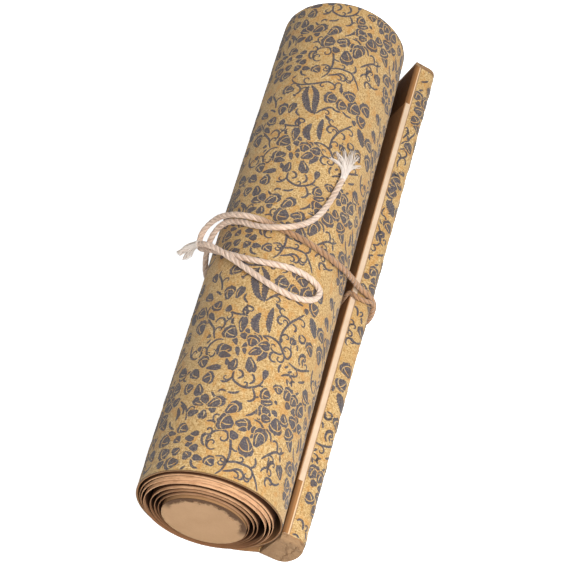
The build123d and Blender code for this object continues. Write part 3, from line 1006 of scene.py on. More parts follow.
# One repeat of the woven pattern, in millimetres along the roll and round it: root, tip and width of
# each petal, width and line of each leaf, and the line of each stem
PETALS = [
    (-88.2, 1.6, -93.8, 2.6, 3.6), (-83.2, 5.0, -84.4, 11.4, 5.6), (-87.4, 4.6, -86.6, 9.6, 3.0),
    (-76.4, 4.8, -72.6, 10.2, 6.0), (-73.6, 3.0, -66.0, 3.4, 3.4), (-86.0, -4.2, -92.4, -6.6, 4.2),
    (-87.0, -8.0, -81.6, -10.4, 2.8), (-78.0, -6.4, -77.6, -11.0, 4.2), (-84.6, -3.2, -81.0, -7.4, 3.4),
    (-80.2, -3.0, -74.8, -3.8, 4.8), (-86.6, 1.4, -82.4, 2.6, 1.8), (-80.8, 3.4, -77.4, 5.2, 2.0),
    (-77.0, 0.2, -74.2, 1.8, 2.6), (-81.8, 0.6, -79.2, -1.2, 1.8), (-85.0, -1.6, -82.2, -0.6, 1.6),
    (-88.8, 6.2, -91.8, 5.0, 1.8), (-75.0, -7.6, -73.4, -5.6, 1.6), (-73.2, -1.0, -71.4, 0.8, 1.8),
    (-109.8, -20.8, -112.6, -16.4, 6.4), (-113.2, -21.8, -114.4, -17.8, 3.4),
    (-104.6, -20.6, -106.0, -15.6, 3.8), (-102.6, -18.6, -101.8, -14.2, 5.0),
    (-110.6, -24.8, -117.4, -25.8, 6.0), (-107.4, -23.4, -109.6, -22.6, 3.0),
    (-98.8, -22.2, -95.0, -21.0, 4.4), (-99.4, -26.0, -93.6, -28.6, 5.4), (-99.8, -30.6, -94.8, -32.6, 4.4),
    (-106.4, -27.8, -111.2, -29.8, 4.4), (-103.2, -28.0, -100.4, -29.2, 3.0),
    (-111.4, -32.2, -115.0, -35.4, 5.8), (-106.4, -31.6, -106.0, -38.2, 6.4),
    (-102.8, -31.6, -101.4, -34.4, 3.0), (-104.2, -23.0, -103.0, -21.6, 1.4),
    (-123.4, -5.6, -122.0, 0.6, 7.2), (-117.8, -0.6, -112.2, -5.4, 4.6), (-126.0, -5.4, -129.0, -8.0, 3.2),
    (-121.6, -6.2, -120.6, -12.4, 4.8), (-126.6, -12.6, -134.6, -14.6, 5.8),
    (-124.6, -8.4, -123.2, -11.4, 1.8), (-129.6, -17.6, -121.0, -19.8, 5.2),
    (-124.0, -15.0, -120.8, -16.0, 3.2), (-126.4, -14.6, -124.6, -15.8, 1.6),
    (-145.6, 14.2, -146.4, 20.6, 5.0), (-139.4, 21.0, -141.4, 26.2, 5.6), (-134.6, 22.8, -132.4, 28.8, 5.4),
    (-129.0, 14.4, -126.8, 19.4, 4.4), (-138.6, 15.6, -140.6, 18.6, 3.6), (-135.0, 17.0, -133.0, 19.4, 3.4),
    (-140.4, 12.8, -143.0, 10.4, 3.8), (-138.2, 11.0, -138.0, 7.6, 3.2), (-136.8, 13.6, -136.0, 10.8, 2.8),
    (-133.0, 14.6, -133.0, 10.8, 3.0), (-130.8, 12.4, -130.4, 9.0, 2.4), (-130.4, 20.4, -129.4, 24.6, 2.2),
    (-144.6, 22.6, -146.8, 25.6, 3.2), (-117.6, 9.4, -121.8, 9.6, 3.6), (-118.6, 12.0, -119.8, 16.4, 3.0),
    (-115.0, 10.6, -112.6, 15.4, 3.6), (-114.6, 8.6, -110.4, 11.6, 3.2), (-115.4, 8.4, -111.6, 2.2, 4.6),
    (-116.8, 7.4, -117.6, 4.6, 2.6), (-104.6, 18.8, -105.8, 23.2, 5.0), (-103.4, 16.0, -109.0, 14.8, 4.0),
    (-100.0, 17.6, -96.2, 21.8, 4.2), (-94.2, 16.4, -88.8, 18.2, 4.6), (-100.8, 15.2, -99.6, 10.4, 5.6),
    (-94.6, 15.0, -94.0, 8.8, 2.6), (-104.8, 27.2, -103.4, 32.6, 6.4), (-110.0, 25.0, -112.6, 28.4, 3.8),
    (-95.4, -13.2, -90.8, -13.4, 2.4), (-70.8, -21.4, -67.6, -22.6, 3.4), (-73.6, 24.6, -66.4, 27.4, 5.4),
    (-62.0, 26.4, -58.4, 31.8, 5.0), (-53.4, 24.0, -49.6, 28.6, 3.6), (-55.2, 18.2, -59.6, 20.4, 5.4),
    (-54.6, 15.2, -47.6, 15.0, 4.8), (-54.0, 10.4, -48.0, 8.8, 3.4), (-58.0, 12.4, -61.4, 12.6, 2.8),
    (-41.0, -13.0, -40.2, -6.8, 6.2), (-42.6, -18.6, -42.8, -13.6, 5.6), (-41.6, -27.0, -40.0, -20.4, 7.0),
    (-37.6, -20.2, -32.6, -17.8, 5.8), (-43.0, -31.6, -46.8, -27.4, 5.8), (-39.6, -32.4, -34.4, -28.0, 5.8),
    (-51.0, -25.6, -48.4, -24.6, 2.2), (-37.0, 11.6, -36.0, 17.6, 4.8), (-41.8, 25.8, -37.2, 28.4, 3.4),
    (-145.8, -1.8, -142.4, 1.4, 4.4), (-143.6, 3.4, -142.8, 7.4, 2.6), (-66.4, 18.8, -62.4, 22.4, 2.4),
    (-76.4, 20.2, -75.6, 18.4, 1.8), (-84.2, 21.6, -81.8, 22.8, 2.2), (-136.4, -36.6, -131.6, -33.6, 4.0),
    (-69.4, -35.0, -64.4, -31.6, 4.4), (-96.6, 26.0, -93.6, 30.8, 4.2), (-126.0, 29.6, -121.4, 32.8, 4.0),
]
LEAVES = [
    (3.6, ((-72.0, -5.2), (-69.4, -3.0), (-65.6, -1.8), (-60.4, -3.4))),
    (2.9, ((-70.2, -9.8), (-66.0, -8.6), (-61.0, -8.2), (-55.6, -8.4))),
    (3.4, ((-53.8, -2.6), (-50.4, 0.8), (-45.6, 2.9), (-40.0, 4.6), (-34.4, 3.6))),
    (3.2, ((-54.4, -3.4), (-49.0, -2.4), (-43.4, -1.9), (-38.4, -0.8), (-34.0, 2.6))),
    (4.8, ((-59.0, -34.6), (-55.0, -32.4), (-50.4, -28.4))),
    (2.0, ((-35.6, -15.8), (-33.2, -13.4), (-30.2, -13.0))),
    (1.8, ((-55.6, -12.4), (-53.8, -10.0), (-52.8, -8.8))),
    (2.0, ((-122.8, 23.6), (-119.6, 22.8), (-115.2, 24.4))),
]
VINES = [
    ((-136.8, -0.8), (-137.7, 1.4), (-136.0, 3.5), (-132.5, 4.1), (-129.0, 2.5), (-127.0, -0.5),
     (-127.0, -3.0), (-129.0, -5.5), (-133.0, -7.0), (-138.0, -7.7), (-142.0, -7.3), (-146.5, -6.0),
     (-149.5, -3.6)),
    ((-136.6, 4.2), (-134.5, 6.0), (-131.2, 6.5), (-129.4, 5.2)),
    ((-127.2, 1.4), (-124.4, 1.9), (-123.0, 4.0), (-123.6, 6.8)),
    ((-140.6, -1.6), (-139.8, -5.0), (-141.6, -7.6), (-140.5, -11.0), (-140.3, -15.0), (-140.5, -18.5),
     (-143.0, -21.0), (-146.0, -23.3), (-149.4, -25.0)),
    ((-147.0, -6.4), (-145.5, -10.0), (-143.8, -12.5), (-143.8, -14.8), (-145.5, -16.4), (-147.6, -15.8),
     (-148.2, -13.8)),
    ((-140.4, -18.4), (-139.0, -20.1), (-137.0, -20.5), (-134.4, -19.4)),
    ((-139.6, -23.8), (-137.2, -24.8), (-135.4, -27.0), (-133.0, -28.0), (-131.4, -30.4)),
    ((-138.6, -27.6), (-135.4, -27.0), (-130.4, -26.2)),
    ((-133.6, -22.4), (-131.0, -24.4), (-128.0, -27.0), (-126.0, -29.5), (-125.5, -32.0), (-122.8, -34.6)),
    ((-129.2, -33.4), (-125.6, -32.2)),
    ((-126.2, -29.8), (-123.6, -29.6), (-121.6, -28.4), (-121.6, -26.8), (-122.8, -25.8)),
    ((-144.6, -29.2), (-143.4, -27.7), (-141.0, -27.6), (-140.0, -29.2), (-141.0, -31.4), (-140.4, -34.4),
     (-138.0, -37.0)),
    ((-116.8, -13.8), (-117.0, -17.2), (-119.0, -19.8), (-118.8, -22.2), (-120.6, -24.2), (-123.4, -25.2)),
    ((-116.6, -9.6), (-114.6, -12.3), (-112.2, -13.9), (-110.2, -14.2)),
    ((-109.0, -8.2), (-108.2, -10.4), (-106.0, -11.5), (-103.4, -10.6), (-101.6, -9.2)),
    ((-93.4, 1.0), (-97.0, 1.0), (-99.6, 0.4), (-101.8, -2.8), (-102.4, -6.0), (-101.0, -9.5),
     (-99.2, -11.6), (-97.0, -12.9), (-94.6, -13.2)),
    ((-106.8, 1.4), (-106.6, -2.0), (-104.9, -4.2)),
    ((-98.8, -1.4), (-97.0, -3.5), (-94.6, -2.7), (-94.0, -0.4)),
    ((-107.6, 5.6), (-106.0, 4.2), (-106.6, 1.8)),
    ((-101.2, 6.2), (-101.5, 3.6), (-99.4, 1.2)),
    ((-100.0, -7.2), (-98.0, -9.0), (-95.6, -8.6), (-94.2, -7.2)),
    ((-72.4, -2.8), (-73.4, -6.0), (-72.0, -9.5), (-72.3, -13.0), (-74.0, -16.4), (-77.5, -19.0),
     (-79.2, -21.6), (-76.0, -23.1), (-73.0, -22.1), (-69.8, -21.8)),
    ((-77.6, -18.8), (-79.0, -16.9), (-79.0, -14.5), (-80.6, -13.0), (-83.0, -13.3), (-84.1, -15.0),
     (-83.4, -16.8)),
    ((-74.0, -16.4), (-71.0, -15.7), (-67.0, -15.8), (-63.0, -17.0), (-59.5, -18.6), (-56.0, -21.2),
     (-51.4, -24.6)),
    ((-59.8, -18.4), (-58.4, -16.0), (-58.4, -13.5), (-60.0, -12.0), (-62.0, -12.0), (-63.1, -13.5),
     (-62.1, -14.8)),
    ((-69.2, -23.4), (-69.8, -25.3), (-72.2, -25.9)),
    ((-67.4, -22.4), (-65.2, -21.6)),
    ((-63.8, -21.2), (-62.0, -22.2), (-60.4, -21.4), (-59.8, -19.2)),
    ((-62.6, -25.4), (-63.0, -28.4), (-65.2, -28.8), (-66.4, -27.0), (-65.2, -25.0), (-62.8, -25.2)),
    ((-80.4, -22.6), (-81.0, -27.0), (-80.0, -31.0), (-78.0, -34.0), (-75.8, -37.2)),
    ((-78.2, -29.7), (-76.0, -28.3), (-73.0, -28.5), (-71.4, -30.0), (-71.6, -32.4)),
    ((-77.2, -31.4), (-75.0, -30.5), (-73.0, -31.4)),
    ((-88.4, -19.6), (-86.0, -18.8), (-83.2, -19.5)),
    ((-89.2, -20.8), (-87.0, -23.5), (-86.0, -26.0), (-85.2, -28.8)),
    ((-91.8, -25.6), (-88.6, -24.3)),
    ((-85.7, -23.7), (-83.5, -26.3)),
    ((-84.3, -21.5), (-82.2, -23.4)),
    ((-91.2, -28.3), (-88.6, -27.2), (-87.6, -29.6)),
    ((-93.4, -31.2), (-90.8, -33.8)),
    ((-86.4, -31.2), (-84.4, -34.4), (-82.8, -35.6)),
    ((-83.6, 14.4), (-84.6, 12.9), (-86.6, 12.8), (-88.1, 14.2), (-87.0, 16.6), (-84.5, 17.8),
     (-81.5, 17.2), (-79.3, 15.5), (-78.1, 13.2), (-78.3, 10.2)),
    ((-80.2, 19.2), (-77.8, 17.2)),
    ((-77.8, 15.2), (-75.0, 16.5), (-71.5, 17.5), (-68.5, 20.0), (-66.0, 22.0), (-61.0, 25.0), (-55.8, 28.2)),
    ((-71.0, 14.7), (-71.6, 13.2), (-69.6, 12.2), (-67.0, 12.9), (-65.4, 14.6), (-66.0, 16.6), (-68.2, 17.7)),
    ((-69.6, 7.8), (-67.2, 9.1), (-65.2, 8.4)),
    ((-60.4, 15.4), (-62.0, 11.0), (-63.0, 8.0), (-63.3, 5.0), (-62.8, 3.0), (-60.0, 3.5), (-56.8, 4.1)),
    ((-66.9, 1.2), (-64.6, 2.2), (-62.8, 3.0)),
    ((-123.4, 17.4), (-119.0, 18.0), (-115.0, 20.5), (-111.8, 24.2)),
    ((-120.0, 20.2), (-116.6, 20.6), (-113.8, 23.4)),
    ((-94.8, 23.2), (-96.6, 26.2), (-99.4, 26.8), (-100.6, 24.6)),
    ((-88.2, 21.6), (-88.0, 24.6), (-86.0, 27.0), (-82.8, 28.2), (-79.0, 28.6)),
    ((-88.0, 21.4), (-85.8, 20.4), (-84.0, 21.2)),
    ((-63.4, 3.6), (-61.4, 5.0), (-58.9, 4.4), (-57.9, 2.6), (-59.1, 1.0)),
    ((-53.4, -3.8), (-50.4, -6.0), (-47.9, -8.5), (-46.6, -11.0), (-47.9, -14.0), (-47.0, -16.6)),
    ((-46.2, -16.8), (-47.6, -19.8), (-47.4, -22.8)),
    ((-34.8, -7.4), (-33.9, -9.5), (-31.4, -9.4), (-29.9, -6.0), (-31.0, -3.0), (-32.8, 1.4), (-33.6, 6.0),
     (-33.4, 9.4), (-31.4, 13.0), (-28.4, 15.2)),
    ((-41.4, 10.6), (-38.4, 7.9), (-35.4, 8.8), (-33.4, 11.4)),
    ((-42.2, 9.4), (-40.2, 11.4)),
    ((-48.4, 20.0), (-44.4, 21.0), (-40.4, 23.0), (-37.4, 25.0), (-34.8, 24.0)),
    ((-51.4, 19.2), (-49.4, 21.4), (-48.0, 23.6)),
    ((-148.4, 4.2), (-147.4, 7.2), (-144.6, 8.4), (-142.6, 6.8)),
    ((-147.6, 10.2), (-149.6, 12.6)),
    ((-127.6, 22.8), (-125.4, 26.0), (-122.0, 27.4)),
    ((-107.4, 8.6), (-110.0, 6.4), (-108.8, 3.6)),
    ((-56.4, 4.0), (-53.6, 6.4), (-50.6, 6.0)),
]
# Figures that are laid once, on the stave, where the repeat leaves a bare stretch
STAVE_PETALS = [
    (60.2, 180.0, 59.0, 175.4, 3.0), (63.6, 180.2, 63.2, 176.0, 2.8), (69.2, 179.8, 67.8, 175.4, 3.0),
    (72.6, 180.0, 71.2, 177.0, 2.2), (66.2, 176.4, 64.6, 173.2, 2.4), (73.6, 176.8, 74.6, 173.6, 2.2),
]
STAVE_VINES = [
    ((48.6, 178.8), (45.6, 180.0), (43.4, 179.6), (42.8, 177.6), (40.8, 176.4), (38.4, 177.2),
     (38.2, 179.2), (40.2, 179.8)),
    ((36.6, 180.0), (33.0, 178.2), (29.6, 177.8), (26.4, 176.2), (25.0, 173.8)),
    ((23.0, 180.2), (24.0, 177.4), (26.4, 176.2)),
    ((30.0, 177.8), (31.2, 175.8), (33.4, 175.4)),
    ((45.4, 176.6), (47.0, 174.6), (50.2, 174.4), (52.8, 176.2), (56.0, 176.4)),
    ((76.6, 178.4), (80.0, 179.0), (83.6, 177.8), (84.2, 175.8), (81.8, 174.4), (79.8, 175.2)),
    ((83.8, 177.6), (86.4, 175.2), (88.8, 175.8), (89.4, 177.6)),
    ((92.0, 180.2), (94.6, 178.6), (96.2, 176.6), (99.2, 175.8), (101.8, 174.4), (104.6, 173.6)),
    ((96.4, 180.0), (99.6, 178.6), (102.8, 178.0), (104.8, 179.2), (103.6, 180.2)),
    ((88.6, 180.0), (90.4, 177.4), (92.2, 175.2), (95.0, 174.0)),
]


@dataclass(frozen=True)
class Stroke:
    """One woven figure as a strip of cloth-coloured thread: a smooth line through points with a width."""

    points: tuple[Place, ...]
    width: float
    full: float = 0.5
    blunt: float = 0.8
    teeth: float = 0.0
    step: float = 0.8
    cell: float = 2.2
    tooth_steps: float = 3.2

    def grid(self) -> Array:
        """Half the width along the line is a power of a sine, fullest at the share `full`, with teeth.

        Returns:
            Rows of places (y, u), two or more to a row.
        """
        line = smooth(np.array(self.points, float), self.step)
        t = np.linspace(0.0, 1.0, len(line))
        bend = np.where(t < self.full, t / self.full, (1 - t) / (1 - self.full)) * 0.5
        half = self.width / 2 * np.maximum(np.sin(math.pi * bend), 0.0) ** self.blunt
        tooth = 1 + self.teeth * (np.abs((t * len(line) / self.tooth_steps) % 1.0 - 0.5) * 2 - 0.5)
        way = unit(np.gradient(line, axis=0))
        side = np.stack([-way[:, 1], way[:, 0]], -1)
        across = np.linspace(-1, 1, 2 + 2 * round(self.width / self.cell))
        return line[:, None] + (half * tooth)[:, None, None] * across[:, None] * side[:, None]


@dataclass(frozen=True)
class Petal:
    """One woven petal: a fan from its narrow root to a scalloped tip."""

    root: Place
    tip: Place
    width: float
    longer: float = 1.24
    wider: float = 1.42
    two_lobed_from: float = 4.6
    rows: int = 8
    columns: int = 9
    vein_width: float = 0.5
    contour_width: float = 0.55

    def grid(self, margin: float = 0.0) -> Array:
        """Half the width at a share t of the length is sin(0.08 pi + 0.5 pi t), and the tip is scalloped.

        Args:
            margin: How far it reaches past the petal's own edge.

        Returns:
            Rows of places (y, u).
        """
        way = np.subtract(self.tip, self.root) * self.longer
        ahead = unit(way)
        root, way = np.array(self.root) - 0.6 * margin * ahead, way + 1.6 * margin * ahead
        t, across = np.linspace(0.0, 1.0, self.rows)[:, None], np.linspace(-1.0, 1.0, self.columns)[None, :]
        small = self.width < self.two_lobed_from
        dip = np.cos(math.pi * across) ** 2 if small else np.sin(1.5 * math.pi * across) ** 2
        share = t * (1.04 - 0.28 * across**2 - 0.1 * dip)
        half = self.width * self.wider / 2 * np.sin(math.pi * (0.08 + 0.5 * share)) + margin
        side = np.array([-ahead[1], ahead[0]])
        return root + share[..., None] * way + (across * half)[..., None] * side

    def contour(self) -> Stroke:
        """The gold line inside its tip, as if one petal lay over another.

        Returns:
            The line, an arc that is 0.8 of the petal's width across.
        """
        root, way = np.array(self.root), np.subtract(self.tip, self.root) * self.longer
        side = 0.4 * self.width * self.wider * unit(np.array([-way[1], way[0]]))
        middle, turn = root + 0.4 * way, np.radians([-85.0, -50.0, -18.0, 18.0, 50.0, 85.0])
        points = [tuple(middle + math.sin(a) * side + 0.32 * math.cos(a) * way) for a in turn]
        return Stroke(tuple(points), self.contour_width, full=0.4, blunt=0.4)

    def vein(self) -> Stroke:
        """The gold line up its middle.

        Returns:
            The line, bent to one side by 0.12 of the petal's length.
        """
        root, way = np.array(self.root), np.subtract(self.tip, self.root) * self.longer
        bend = 0.12 * np.array([-way[1], way[0]])
        points = (root + 0.1 * way, root + 0.4 * way + bend, root + 0.72 * way + bend)
        return Stroke(tuple(map(tuple, points)), self.vein_width, full=0.4, blunt=0.4)


@dataclass
class Pattern:
    """The woven flowers on scrolling stems: one repeat of the cloth, set out over the whole cover."""

    along: Place = (121.4, 2.5)
    round_roll: Place = (-5.7, 68.3)
    # Heights over the cloth, in millimetres
    level: float = 0.05
    level_step: float = 0.03
    levels: int = 5
    stem_lift: float = 0.035
    petal_lift: float = 0.014
    rim_width: float = 0.42
    vein_lift: float = 0.078
    # Widths, edges and limits on the cloth
    contour_from: float = 0.9
    edge: float = 0.1
    hidden_before: float = -96.0
    repeats_along: range = range(-1, 4)
    repeats_round: range = range(-2, 4)
    least_seen: float = 0.6
    past_end: float = 2.0
    # On the stave every level is higher by a factor and a lift, over a short ramp
    ramp: float = 3.0
    stave_factor: float = 0.6
    stave_lift: float = 0.04

    def figures(self) -> Grids:
        """The stems, leaves and tendrils of one repeat.

        Returns:
            Grids with their heights.
        """
        leaves = [Stroke(points, width * 1.1, blunt=0.6, teeth=0.4, step=0.5) for width, points in LEAVES]
        vines = [Stroke(points, 1.25, blunt=0.22) for points in VINES]
        curls = [curl for points in VINES for curl in self.curls(points)]
        return [(figure.grid(), self.stem_lift) for figure in leaves + vines + curls]

    def stave_stems(self) -> Grids:
        """The stems that are laid once on the stave."""
        return [(Stroke(points, 1.1, blunt=0.25).grid(), self.stem_lift) for points in STAVE_VINES]

    def petals(self, rows: list[tuple[float, ...]], margin: float, lift: float) -> Grids:
        """Petals with neighbours on five levels, so that a blossom's petals overlap.

        Args:
            rows: Each petal's root, tip and width.
            margin: How far they reach past their own edges.
            lift: Height over their level.

        Returns:
            Grids with their heights.
        """
        return [(Petal((a, b), (c, d), width).grid(margin),
                 self.level + self.level_step * (number % self.levels) + lift)
                for number, (a, b, c, d, width) in enumerate(rows)]

    @staticmethod
    def curls(points: tuple[Place, ...]) -> list[Stroke]:
        """Curling tendrils that leave a stem now on one side, now on the other.

        Args:
            points: The stem's points.

        Returns:
            The tendrils as strokes.
        """
        hook = [(0.0, 0.0), (1.3, 0.7), (2.3, 2.0), (2.0, 3.5), (0.8, 4.0), (0.0, 3.2), (0.5, 2.5)]
        line = smooth(np.array(points, float), 0.5)
        tendrils = []
        first, apart = 9, 15
        for number, k in enumerate(range(first, len(line) - first + 1, apart)):
            size = (1.0, 0.75, 1.2)[number % 3]
            way = unit(line[k + 1] - line[k - 1])
            side = np.array([-way[1], way[0]]) * (size if number % 2 else -size)
            places = tuple(tuple(line[k] + a * size * way + b * side) for a, b in hook)
            tendrils.append(Stroke(places, 0.95, full=0.35, blunt=0.25))
        return tendrils

    def veins(self, rows: list[tuple[float, ...]], least: float = 3.3) -> Grids:
        """The gold lines in the larger petals.

        Args:
            rows: Each petal's root, tip and width.
            least: Width over which a petal has one up its middle; wider ones have one in their tip too.

        Returns:
            Grids with their heights.
        """
        lines = []
        for number, (a, b, c, d, width) in enumerate(rows):
            petal = Petal((a, b), (c, d), width)
            lift = self.vein_lift + self.level_step * (number % self.levels)
            lines += [(petal.vein().grid(), lift)] if width > least else []
            lines += [(petal.contour().grid(), lift)] if width > least + self.contour_from else []
        return lines

    def build(self, name: str, cover: Cover, grids: Grids, once: Grids, finish: Material) -> Piece:
        """Copy every figure by both repeats and lay it on the cloth's face, a little higher on the stave.

        Args:
            name: Name of the piece.
            cover: The cloth.
            grids: The figures of one repeat, each with its height over the cloth.
            once: Figures that are laid only once, at the stave.
            finish: The thread.

        Returns:
            The piece.
        """
        spots_and_shadow, faces, lifts, total = [], [], [], 0
        steps = [np.add(np.multiply(self.along, i), np.multiply(self.round_roll, j))
                 for i in self.repeats_along for j in self.repeats_round]
        low, high, end = cover.path.front + self.edge, cover.path.back - self.edge, cover.run[-1]
        for moved, lift in [(grid + step, lift) for grid, lift in grids for step in steps] + once:
            y, u = moved[..., 0], moved[..., 1]
            if y.max() < low + self.least_seen or y.min() > high - self.least_seen:
                continue
            if u.min() < self.hidden_before or u.max() > end + self.past_end:
                continue
            y = cover.keep_on(np.clip(y, low, high), u > cover.stave_run, self.edge)
            spots_and_shadow.append(np.stack([np.minimum(u, end - self.edge), y], -1).reshape(-1, 2))
            faces.append(grid_faces(*y.shape, first=total))
            lifts.append(np.full(y.size, lift))
            total += y.size
        uv = np.concatenate(spots_and_shadow)
        on_stave = np.clip((uv[:, 0] - cover.stave_run) / self.ramp, 0.0, 1.0)
        raised = np.concatenate(lifts) * (1.0 + self.stave_factor * on_stave) + self.stave_lift * on_stave
        places = cover.places(uv[:, 0], uv[:, 1], raised[:, None])
        return Piece(name, places, np.concatenate(faces), finish, Slot.CLOTH).vertex_uv("cloth", uv)


class Lay(Enum):
    """Which half of the cord a strand is."""

    OVER = "cord_over"
    UNDER = "cord_under"


@dataclass
class Cord:
    """One half of the soft cord: a smooth line with three loosely twisted strands round it."""

    name: Lay
    route: Route
    length: float
    diameter: float = 3.2
    pitch: float = 11.0
    step: float = 0.45
    around: int = 30
    thin_end: float = 7.0
    thinnest: float = 0.3

    def centre(self) -> Array:
        """Points of the smooth spline whose control points are the route's.

        Returns:
            The points in millimetres.
        """
        curve = bpy.data.curves.new("route", "CURVE")
        curve.dimensions = "3D"
        curve.resolution_u = 12
        spline = curve.splines.new("NURBS")
        spline.points.add(len(self.route) - 1)
        spline.points.foreach_set("co", np.column_stack([self.route, np.ones(len(self.route))]).ravel())
        spline.order_u = 3
        spline.use_endpoint_u = True
        holder = add_object("route", curve)
        bpy.context.view_layer.update()
        line = bpy.data.meshes.new_from_object(holder.evaluated_get(bpy.context.evaluated_depsgraph_get()))
        points = np.empty(len(line.vertices) * 3, np.float32)
        line.vertices.foreach_get("co", points)
        bpy.data.meshes.remove(line)
        bpy.data.objects.remove(holder)
        bpy.data.curves.remove(curve)
        return points.reshape(-1, 3).astype(float)

    def build(self, finish: Material, exit_point: Point, with_pieces: list[bpy.types.Object]) -> Piece:
        """Carry the strands' section along the line; it thins out among the yarns of its frayed end.

        Args:
            finish: The cotton.
            exit_point: Where it leaves the object; not used.
            with_pieces: The pieces that are on it; not used.

        Returns:
            The piece.
        """
        line = even(self.centre(), self.step)
        left = np.linspace(self.step * (len(line) - 1), 0.0, len(line)) / self.thin_end
        thin = self.thinnest + (1.0 - self.thinnest) * np.clip(left, 0.0, 1.0) ** 0.7
        piece = twisted(self.name.value + "_strands", line, self.diameter / 2, self.pitch, self.around,
                        finish, np.column_stack([thin, thin]))
        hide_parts(self.name.value)
        return piece


def frames(line: Array) -> tuple[Array, Array, Array]:
    """Directions that go along a line without turning about it.

    Args:
        line: The line's points.

    Returns:
        The way of the line, and two directions square to it, at each point.
    """
    way = unit(np.gradient(line, axis=0))
    side = np.empty_like(way)
    start = np.cross(way[0], (0.0, 0.0, 1.0) if abs(way[0][2]) < 0.9 else (1.0, 0.0, 0.0))
    side[0] = start / np.linalg.norm(start)
    for k in range(1, len(way)):
        kept = side[k - 1] - way[k] * (side[k - 1] @ way[k])
        side[k] = kept / np.linalg.norm(kept)
    return way, side, np.cross(way, side)


def twisted(name: str, line: Array, radius: float, pitch: float, around: int, finish: Material,
            flat: Array) -> Piece:
    """A twisted cord as one closed skin.

    The radius at an angle is full on a strand and falls to seven eighths between two of them, and the
    angle of the strands turns once for each pitch along the line.

    Args:
        name: Name of the piece.
        line: Points of its centre line.
        radius: Its radius.
        pitch: Length of one full twist.
        around: Points round it.
        finish: The cotton.
        flat: Two factors for width and height at every point, where it is thin or pressed flat.

    Returns:
        The piece.
    """
    _, side, up = frames(line)
    far = distances(line)[:, None]
    angle = np.linspace(0.0, 2 * math.pi, around, endpoint=False)
    turned = angle[None, :] - 2 * math.pi * far / pitch
    lobe = np.abs(np.cos(0.5 * STRANDS * turned))
    wander = 0.02 * np.sin(far * 0.9 + 2 * angle[None, :]) + 0.02 * np.sin(far * 0.37)
    reach = radius * (0.84 + 0.12 * lobe**0.8 + wander)
    skin = rings(line, side, up, reach * flat[:, :1], reach * flat[:, 1:], angle)
    size = len(line) * around
    ring = np.arange(around)
    after = np.roll(ring, -1)
    last = size - around
    ends = [[size, b, a] for a, b in zip(ring.tolist(), after.tolist())]
    ends += [[size + 1, last + a, last + b] for a, b in zip(ring.tolist(), after.tolist())]
    faces = grid_faces(len(line), around, closed=True)[:, ::-1].tolist() + ends
    piece = Piece(name, np.concatenate([skin.reshape(-1, 3), line[:1], line[-1:]]),
                  np.array(faces, dtype=object), finish, Slot.CORD)
    spun = np.stack(np.broadcast_arrays(radius * np.cos(turned), radius * np.sin(turned), far), -1)
    middles = [[0.3, 0.0, 0.0], [0.3, 0.0, far[-1, 0]]]
    return piece.vertex_vector("strand", np.concatenate([spun.reshape(-1, 3), middles]))


